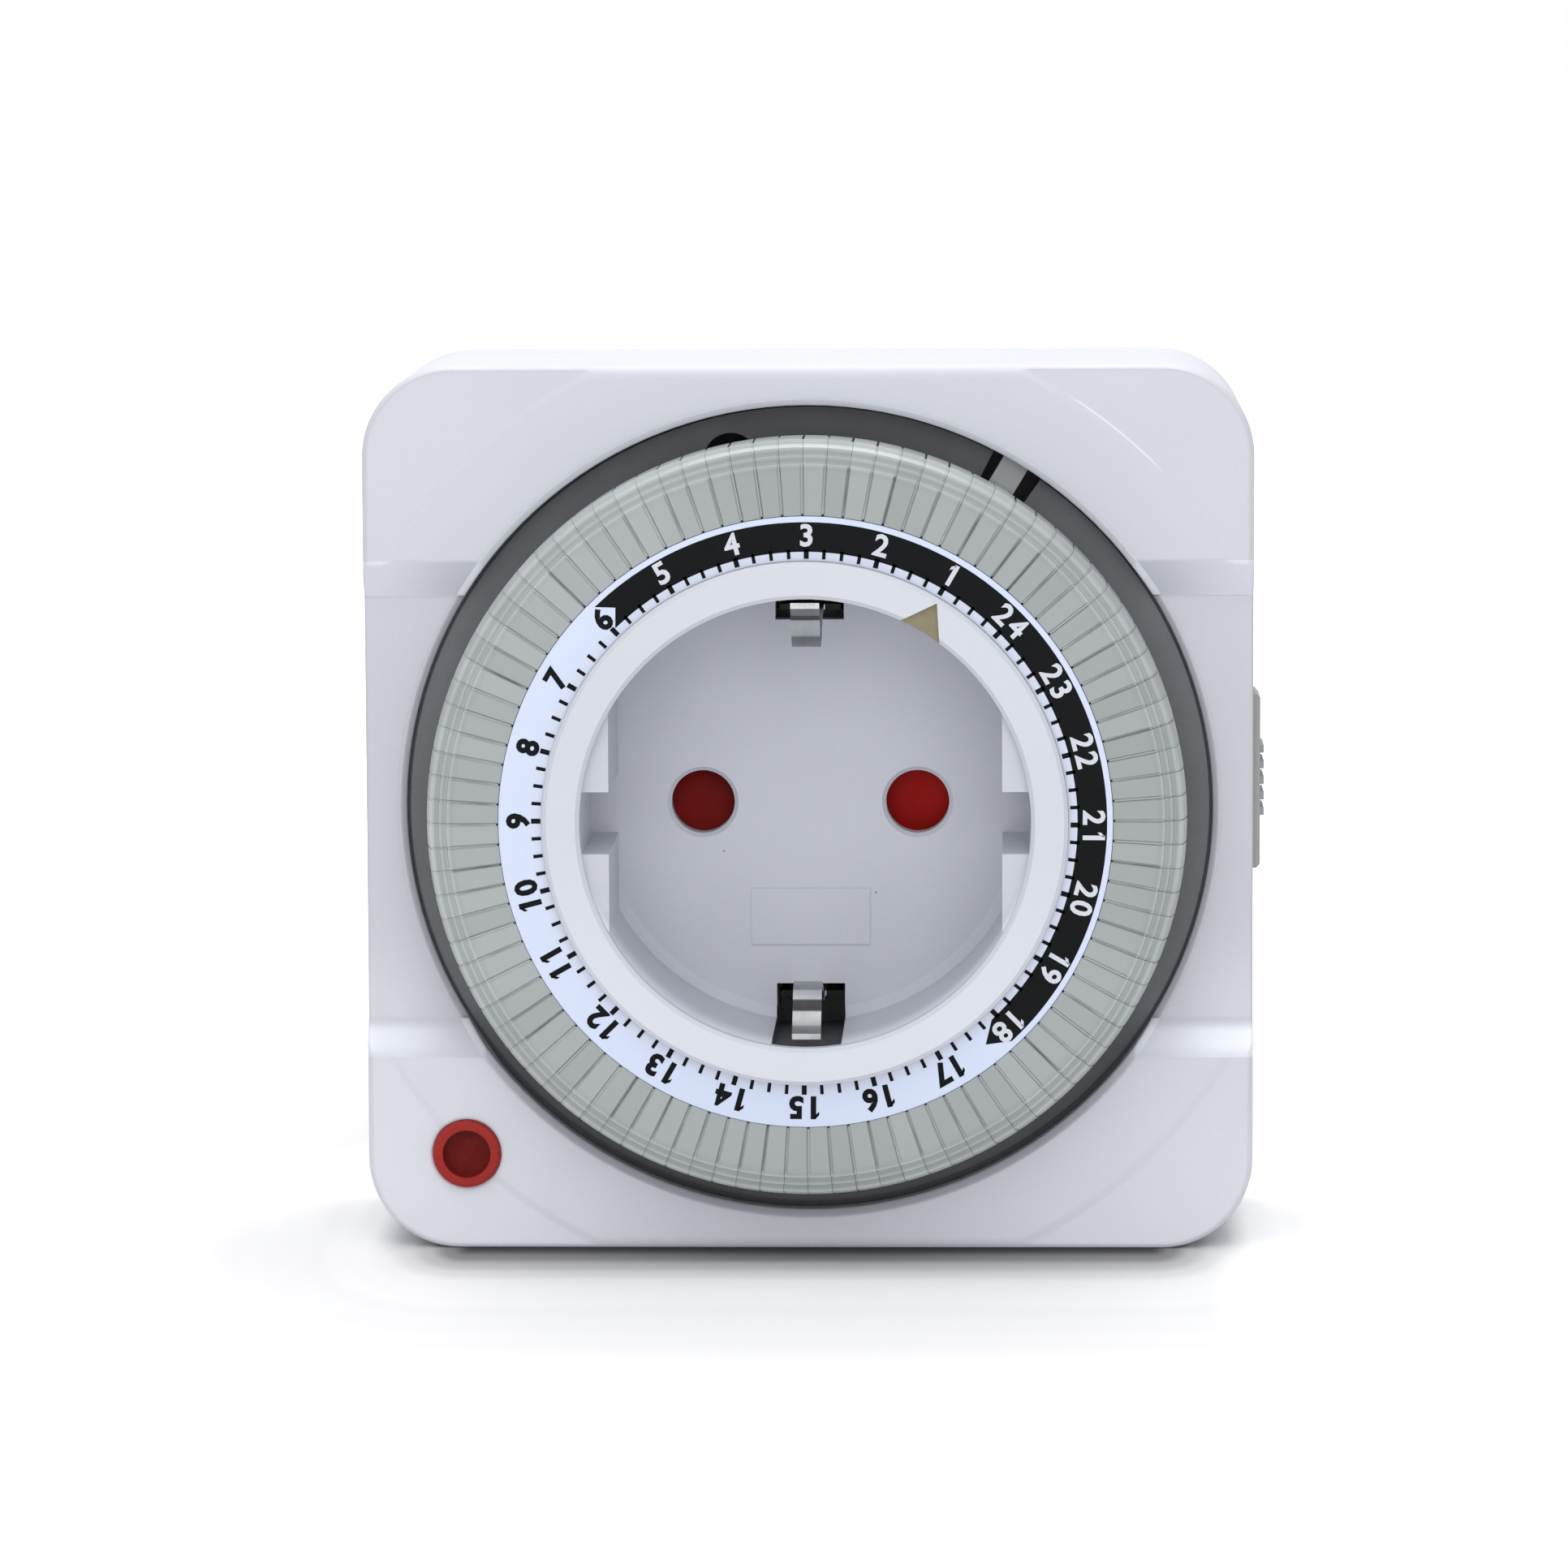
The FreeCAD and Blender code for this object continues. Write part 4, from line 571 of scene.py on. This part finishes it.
leadLook = {
    "gloss": 0.4, "ior": 1.5, "split": (0.0, 0.001), "low": (0.030, 0.085, 0.300, 1.0),
    "high": (0.130, 0.045, 0.018, 1.0), "grainScale": 1600.0, "worn": (0.4, 0.8, 0.0, 0.25),
    "dust": (0.16, 0.15, 0.16, 1.0), "rough": 0.42, "grainRough": 0.15, "relief": 0.10,
    "reliefDepth": 0.00005,
}


def lensPlastic():
    # the thick rim glows red, the thin middle shows the dark behind it
    look = lensLook
    finish = Finish("lensPlastic", {"Specular IOR Level": look["gloss"], "IOR": look["ior"],
                                    "Transmission Weight": look["clear"]})
    x = finish.along("X")
    z = finish.along("Z")
    rim = finish.ease(finish.reach(x - look["x"], z - look["z"]), *look["well"])
    swirl = finish.ease(finish.grain(look["swirlScale"]), *look["swirl"])
    base = finish.blend(rim, look["middle"], look["rim"])
    finish.feed("Base Color", finish.blend(swirl * look["swirlShare"], base, look["swirlColour"]))
    finish.feed("Roughness", look["rough"] + swirl * look["swirlRough"])
    finish.bump(finish.grain(look["grainScale"]), look["relief"], look["reliefDepth"])
    return finish


def bulbGlass():
    look = bulbLook
    finish = Finish("bulbGlass", {"IOR": look["ior"], "Transmission Weight": look["clear"],
                                  "Specular IOR Level": look["gloss"]})
    haze = finish.ease(finish.grain(look["hazeScale"], look["hazeDetail"]), *look["haze"])
    finish.feed("Base Color", finish.blend(haze, look["glass"], look["film"]))
    finish.feed("Roughness", look["rough"] + haze * look["hazeRough"])
    finish.bump(haze, look["relief"], look["reliefDepth"])
    return finish


def leadInsulation():
    # the run at the top is brown, the one to the lamp blue
    look = leadLook
    finish = Finish("leadInsulation", {"Specular IOR Level": look["gloss"], "IOR": look["ior"]})
    z = finish.along("Z")
    fine = finish.grain(look["grainScale"])
    base = finish.blend(finish.ease(z, *look["split"]), look["low"], look["high"])
    base = finish.blend(finish.ease(fine, *look["worn"]), base, look["dust"])
    finish.feed("Base Color", base)
    finish.feed("Roughness", look["rough"] + (fine - 0.5) * look["grainRough"])
    finish.bump(fine, look["relief"], look["reliefDepth"])
    return finish


lens = lensPlastic()
bulb = bulbGlass()
lead = leadInsulation()
print("lamp and lead finishes made")


# Finishes on the CAD nodes

nodeFinish = {
    "front_cover": cover, "rear_cover": housing, "plug_body": housing, "socket_well": well,
    "collar_ring": collar, "chassis_plate": chassis, "time_pointer": pointer, "contact_carrier": carrier,
    "safety_shutter": shutter, "shutter_spring": screw, "cover_screws": screw, "inner_screws": screw,
    "neutral_contact": contact, "live_contact": contact, "earth_link": contact, "live_feed_bar": contact,
    "live_outlet_bar": contact, "neutral_pin": pin, "live_pin": pin, "earth_contacts": earth,
    "dial_carrier": dial, "dial_gear": gear, "hour_scale_ring": scale, "idler_gear": gear,
    "idler_arbor": screw, "motor_pinion": brass, "synchronous_motor": motor, "switch_body": switch,
    "switch_plunger": gear, "switch_lever": lever, "lever_pin": screw, "override_knob": knob,
    "override_bar": gear, "neon_lens": lens, "neon_lamp": bulb, "supply_leads": lead,
}


def dressNodes():
    for name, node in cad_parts.items():
        finish = tab if name.startswith("tab_hour_") else nodeFinish[name]
        for place in node.material_slots:
            place.material = finish.material


dressNodes()
print("CAD nodes dressed")


# The print on the dial

printLook = {"face": -0.0567, "thickness": 0.00003, "sunk": 0.00001, "phase": 0.45, "hours": 24}
bandLook = {
    "inner": 0.0235, "middle": 0.0248, "outer": 0.02605, "steps": 90,
    "start": 315.6, "startPoint": 318.5, "startOver": 0.6, "end": 136.4, "endPoint": 140.7,
}
tickLook = {
    "count": 96, "perHour": 4, "inner": 0.0229, "outer": 0.02372, "width": 0.0003, "hourWidth": 0.00043,
}
numberLook = {"size": 0.00262, "pitch": 0.00162, "first": 3, "roundness": 3}
lightLook = {
    "radius": 0.02492, "bold": 0.00007, "proud": 1.2,
    "hours": (18, 19, 20, 21, 22, 23, 24, 1, 2, 3, 4, 5),
}
darkLook = {"radius": 0.02484, "bold": 0.00011, "proud": 0.3, "hours": tuple(range(6, 18))}
flagLook = {"reach": 0.00036, "drop": 0.00034, "thickness": 0.00032, "sunk": 0.0001}


def newPiece(name, mesh, finish, body):
    piece = bpy.data.objects.new(name, mesh)
    bpy.context.scene.collection.objects.link(piece)
    mesh.materials.append(finish.material)
    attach(piece, body)


def meshOf(name, shape):
    bmesh.ops.remove_doubles(shape, verts=shape.verts, dist=1e-7)
    bmesh.ops.recalc_face_normals(shape, faces=shape.faces)
    mesh = bpy.data.meshes.new(name)
    shape.to_mesh(mesh)
    shape.free()
    return mesh


def turned(bearing):
    return Matrix.Rotation(math.radians(bearing), 4, "Y")


def nightBand():
    shape = bmesh.new()
    back = printLook["face"] + printLook["sunk"]
    front = back - printLook["thickness"]
    radii = (bandLook["inner"], bandLook["middle"], bandLook["outer"])
    corners = [shape.verts.new((0.0, back, radius)) for radius in radii]
    corners += [shape.verts.new((0.0, front, radius)) for radius in reversed(radii)]
    section = shape.faces.new(corners)
    first = bandLook["startPoint"] + bandLook["startOver"]
    last = bandLook["end"] + 360.0
    bmesh.ops.rotate(shape, verts=shape.verts, cent=(0, 0, 0), matrix=turned(first))
    made = bmesh.ops.spin(shape, geom=[section] + section.verts[:] + section.edges[:], cent=(0, 0, 0),
                          axis=(0, 1, 0), angle=math.radians(last - first), steps=bandLook["steps"])
    lastFace = [part for part in made["geom_last"] if isinstance(part, bmesh.types.BMFace)][0]
    endBand(shape, section, first, bandLook["start"], bandLook["startPoint"])
    endBand(shape, lastFace, last, last, bandLook["endPoint"] + 360.0)
    bmesh.ops.rotate(shape, verts=shape.verts, cent=(0, 0, 0), matrix=turned(printLook["phase"]))
    return meshOf("nightBand", shape)


def endBand(shape, face, bearing, corner, point):
    # the end face goes on to its corners, and its middle to the point
    made = bmesh.ops.extrude_discrete_faces(shape, faces=[face])
    for vert in made["faces"][0].verts:
        radius = math.hypot(vert.co.x, vert.co.z)
        middle = abs(radius - bandLook["middle"]) < 1e-5
        vert.co = turned((point if middle else corner) - bearing) @ vert.co


def scaleTicks():
    shape = bmesh.new()
    depth = printLook["thickness"] + printLook["sunk"]
    length = tickLook["outer"] - tickLook["inner"]
    middle = (tickLook["outer"] + tickLook["inner"]) / 2.0
    for index in range(tickLook["count"]):
        isHour = index % tickLook["perHour"] == 0
        width = tickLook["hourWidth"] if isHour else tickLook["width"]
        size = Matrix.Diagonal((width, depth, length, 1.0))
        place = Matrix.Translation((0.0, printLook["face"], middle)) @ size
        turn = turned(index * 360.0 / tickLook["count"] + printLook["phase"])
        bmesh.ops.create_cube(shape, size=1.0, matrix=turn @ place)
    mesh = bpy.data.meshes.new("scaleTicks")
    shape.to_mesh(mesh)
    shape.free()
    return mesh


def digitShape(digit, bold):
    # one digit of the lettering; the plain bar of the 1 gets its flag
    data = bpy.data.curves.new("digit", "FONT")
    data.body = digit
    data.size = numberLook["size"]
    data.offset = bold
    data.extrude = printLook["thickness"] / 2.0
    data.resolution_u = numberLook["roundness"]
    holder = bpy.data.objects.new("digit", data)
    bpy.context.scene.collection.objects.link(holder)
    bpy.context.view_layer.update()
    mesh = bpy.data.meshes.new_from_object(holder)
    bpy.data.objects.remove(holder)
    shape = bmesh.new()
    shape.from_mesh(mesh)
    bpy.data.meshes.remove(mesh)
    if digit == "1":
        left = min(vert.co.x for vert in shape.verts) + flagLook["sunk"]
        top = max(vert.co.y for vert in shape.verts)
        half = printLook["thickness"] / 2.0
        away = left - flagLook["reach"]
        low = top - flagLook["drop"]
        corners = [(left, top), (away, low), (away, low - flagLook["thickness"]),
                   (left, top - flagLook["thickness"])]
        face = shape.faces.new([shape.verts.new((x, y, -half)) for x, y in corners])
        made = bmesh.ops.extrude_face_region(shape, geom=[face])
        raised = [part for part in made["geom"] if isinstance(part, bmesh.types.BMVert)]
        bmesh.ops.translate(shape, verts=raised, vec=(0.0, 0.0, 2.0 * half))
    return shape


def numberMesh(text, bold):
    # the digits stand in the middle of equal steps
    number = bpy.data.meshes.new("number")
    joined = bmesh.new()
    for index, digit in enumerate(text):
        shape = digitShape(digit, bold)
        left = min(vert.co.x for vert in shape.verts)
        right = max(vert.co.x for vert in shape.verts)
        place = index * numberLook["pitch"] - (left + right) / 2.0
        bmesh.ops.translate(shape, verts=shape.verts, vec=(place, 0.0, 0.0))
        shape.to_mesh(number)
        shape.free()
        joined.from_mesh(number)
    joined.to_mesh(number)
    joined.free()
    return number


def hourNumbers(name, look):
    # the numbers run anticlockwise, with their tops outwards
    shape = bmesh.new()
    upright = Matrix.Rotation(math.radians(90.0), 4, "X")
    face = printLook["face"] - printLook["thickness"] * look["proud"]
    outwards = Matrix.Translation((0.0, face, look["radius"]))
    for hour in look["hours"]:
        steps = (numberLook["first"] - hour) % printLook["hours"]
        bearing = steps * 360.0 / printLook["hours"] + printLook["phase"]
        mesh = numberMesh(str(hour), look["bold"])
        low = [min(vert.co[axis] for vert in mesh.vertices) for axis in range(2)]
        high = [max(vert.co[axis] for vert in mesh.vertices) for axis in range(2)]
        centre = Matrix.Translation((-(low[0] + high[0]) / 2.0, -(low[1] + high[1]) / 2.0, 0.0))
        mesh.transform(turned(bearing) @ outwards @ upright @ centre)
        shape.from_mesh(mesh)
        bpy.data.meshes.remove(mesh)
    return meshOf(name, shape)


rimLook = {
    "scaleRim": (0.0262, 0.02655), "collarRim": (0.02273, 0.0229), "front": -0.05668, "back": -0.0562,
    "steps": 144,
}


def scaleRim(name):
    # the scale's rims reach almost to the tabs and the collar
    shape = bmesh.new()
    inner, outer = rimLook[name]
    corners = [(0.0, rimLook["back"], inner), (0.0, rimLook["back"], outer),
               (0.0, rimLook["front"], outer), (0.0, rimLook["front"], inner)]
    section = shape.faces.new([shape.verts.new(corner) for corner in corners])
    bmesh.ops.spin(shape, geom=[section] + section.verts[:] + section.edges[:], cent=(0, 0, 0),
                   axis=(0, 1, 0), angle=math.tau, steps=rimLook["steps"], use_merge=True)
    bmesh.ops.delete(shape, geom=[section], context="FACES_ONLY")
    return meshOf(name, shape)


# The ribs down the side of each tab: they nearly close the gap to the next one

ribLook = {
    "halfGap": 0.18, "sunk": 0.02, "clearance": 0.05, "seed": 11, "firstHour": 2, "perHour": 4,
    "face": 0.0566, "under": 0.0553,
    "depths": (0.00003, 0.00009, 0.00014, 0.00018, 0.00022, 0.00028, 0.00045),
    "ends": ((0.2, 1.2), (0.7, 1.2), (0.8, 1.2), (0.4, 1.3)),
    "shallow": 0.00003, "shallowRange": (0.6, 2.0), "open": 0.5,
    "top": (0.02675, 0.0280, 0.0293, 0.0306),
    "slope": ((0.03105, 0.05655), (0.03115, 0.0562), (0.03174, 0.05615), (0.03184, 0.0558),
              (0.03243, 0.0557), (0.0327, 0.0551), (0.0330, 0.0534)),
    "skirt": ((0.0330, 0.0500), (0.0323, 0.0500), (0.0323, 0.0532)),
    "back": ((0.0324, 0.0532), (0.0312, 0.0550), (0.0304, 0.0553)),
}


def ribSection(chance):
    # the groove that is left along the face: near nothing at a faint gap, deep at a dark one
    deep = chance.choice(ribLook["depths"])
    ends = [chance.uniform(*limits) for limits in ribLook["ends"]]
    corners = [(radius, ribLook["face"] - deep * end) for radius, end in zip(ribLook["top"], ends)]
    shallow = ribLook["shallow"] * chance.uniform(*ribLook["shallowRange"])
    corners += [(radius - shallow, depth - shallow) for radius, depth in ribLook["slope"]]
    # at some gaps the outer wall is left open, the others are closed down it too
    if chance.random() < ribLook["open"]:
        corners += ribLook["back"]
    else:
        corners += ribLook["skirt"] + ribLook["back"][1:]
    corners.append((ribLook["top"][0], ribLook["under"]))
    return corners


def tabRibs(hour):
    shape = bmesh.new()
    chance = random.Random(ribLook["seed"] + hour)
    first = (ribLook["firstHour"] - hour) % printLook["hours"] * ribLook["perHour"]
    start = -ribLook["halfGap"] - ribLook["sunk"]
    sweep = 2.0 * ribLook["halfGap"] + ribLook["sunk"] - ribLook["clearance"]
    for index in range(ribLook["perHour"]):
        bearing = tabLook["gapBearing"] + tabLook["pitch"] * (first + index + 1) + start
        verts = [shape.verts.new(turned(bearing) @ Vector((0.0, -depth, radius)))
                 for radius, depth in ribSection(chance)]
        section = shape.faces.new(verts)
        bmesh.ops.spin(shape, geom=[section] + section.verts[:] + section.edges[:], cent=(0, 0, 0),
                       axis=(0, 1, 0), angle=math.radians(sweep), steps=1)
    return meshOf("tabRibs%02d" % hour, shape)


for hour in range(printLook["hours"]):
    newPiece("tabRibs%02d" % hour, tabRibs(hour), tab, "tab_%02d" % hour)
for name in ("scaleRim", "collarRim"):
    newPiece(name, scaleRim(name), scale, "dial")
newPiece("nightBand", nightBand(), darkInk, "dial")
newPiece("scaleTicks", scaleTicks(), darkInk, "dial")
newPiece("lightNumbers", hourNumbers("lightNumbers", lightLook), lightInk, "dial")
newPiece("darkNumbers", hourNumbers("darkNumbers", darkLook), darkInk, "dial")
print("scale printed")


# Floor, world and lamps

floorLook = {
    "height": -0.039, "size": 6.0, "colour": (0.80, 0.80, 0.805), "rough": 0.9, "gloss": 0.1,
    "glow": (0.052, 0.30), "glowColour": (1.0, 1.0, 1.0),
    "footMiddle": -0.0322, "footHalf": 0.0150, "footSide": 0.0300, "sideways": 2.2, "bright": 2.0,
    "contactEnd": 0.09,
    "contact": ((0.0, 0.04), (0.0043, 0.19), (0.0083, 0.40), (0.0122, 0.54), (0.016, 0.615),
                (0.020, 0.605), (0.024, 0.58), (0.031, 0.53), (0.040, 0.50), (0.046, 0.478),
                (0.060, 0.48), (0.090, 0.50)),
    "beside": (0.034, 0.056, 0.0, 0.13), "besideRight": (0.034, 0.038, 0.0, 0.15),
}


def makeFloor():
    look = floorLook
    shape = bmesh.new()
    place = Matrix.Translation((0.0, 0.0, look["height"]))
    bmesh.ops.create_grid(shape, x_segments=1, y_segments=1, size=look["size"], matrix=place)
    mesh = bpy.data.meshes.new("floor")
    shape.to_mesh(mesh)
    shape.free()
    floor = bpy.data.objects.new("floor", mesh)
    bpy.context.scene.collection.objects.link(floor)
    finish = Finish("floorPaper", {"Roughness": look["rough"], "Specular IOR Level": look["gloss"],
                                   "Emission Strength": 1.0})
    # away from the part the paper glows to white
    seen = finish.add("ShaderNodeLightPath", {}, {}, "Is Camera Ray")
    glossy = Wire(finish, seen.socket.node.outputs["Is Glossy Ray"])
    through = Wire(finish, seen.socket.node.outputs["Is Transmission Ray"])
    x = finish.along("X")
    y = finish.along("Y")
    glow = finish.ease(finish.reach(x, y), *look["glow"])
    finish.feed("Emission Color", finish.shaded(look["glowColour"], (seen + glossy + through) * glow))
    # the part's shadow is dark close to its foot
    side = finish.size(x) - look["footSide"]
    depth = finish.size(y - look["footMiddle"]) - look["footHalf"]
    near = finish.reach(side * (side > 0.0) * look["sideways"], depth * (depth > 0.0))
    shadow = finish.levels(near, 0.0, look["contactEnd"], look["contact"]) * look["bright"]
    # painted light on the floor beside the part, more on its right
    shadow = shadow + finish.ease(finish.size(x), *look["beside"]) + finish.ease(x, *look["besideRight"])
    shadow = (shadow - 1.0) * seen + 1.0
    finish.feed("Base Color", finish.shaded(look["colour"], shadow))
    mesh.materials.append(finish.material)


studio = {
    "sky": 0.43, "backdrop": 1.0, "target": (0.0, -0.045, 0.0),
    "lamps": {
        "keyLamp": {"place": (-0.05, -0.62, 0.62), "size": 0.80, "power": 2.95},
        "topLamp": {"place": (0.0, 0.17, 0.66), "size": 0.50, "power": 3.6},
        "fillLamp": {"place": (0.06, -1.10, 0.04), "size": 0.9, "power": 4.2},
    },
}


def makeWorld():
    # what the camera and the reflections see is white, and the soft light of the sky is dimmer
    world = bpy.data.worlds.new("studio")
    bpy.context.scene.world = world
    world.use_nodes = True
    tree = world.node_tree
    path = tree.nodes.new("ShaderNodeLightPath")
    seen = path.outputs["Is Camera Ray"]
    for ray in ("Is Glossy Ray", "Is Transmission Ray"):
        either = tree.nodes.new("ShaderNodeMath")
        either.operation = "MAXIMUM"
        tree.links.new(seen, either.inputs[0])
        tree.links.new(path.outputs[ray], either.inputs[1])
        seen = either.outputs[0]
    level = tree.nodes.new("ShaderNodeMapRange")
    level.inputs["To Min"].default_value = studio["sky"]
    level.inputs["To Max"].default_value = studio["backdrop"]
    tree.links.new(seen, level.inputs["Value"])
    sky = tree.nodes["Background"]
    sky.inputs["Color"].default_value = (1.0, 1.0, 1.0, 1.0)
    tree.links.new(level.outputs[0], sky.inputs["Strength"])


def makeLamp(name, look):
    data = bpy.data.lights.new(name, "AREA")
    data.shape = "SQUARE"
    data.size = look["size"]
    data.energy = look["power"]
    lamp = bpy.data.objects.new(name, data)
    lamp.location = look["place"]
    aim = Vector(studio["target"]) - Vector(look["place"])
    lamp.rotation_euler = aim.to_track_quat("-Z", "Y").to_euler()
    bpy.context.scene.collection.objects.link(lamp)


makeFloor()
makeWorld()
for name, look in studio["lamps"].items():
    makeLamp(name, look)
bpy.context.scene.view_settings.view_transform = "Standard"
print("studio lit")
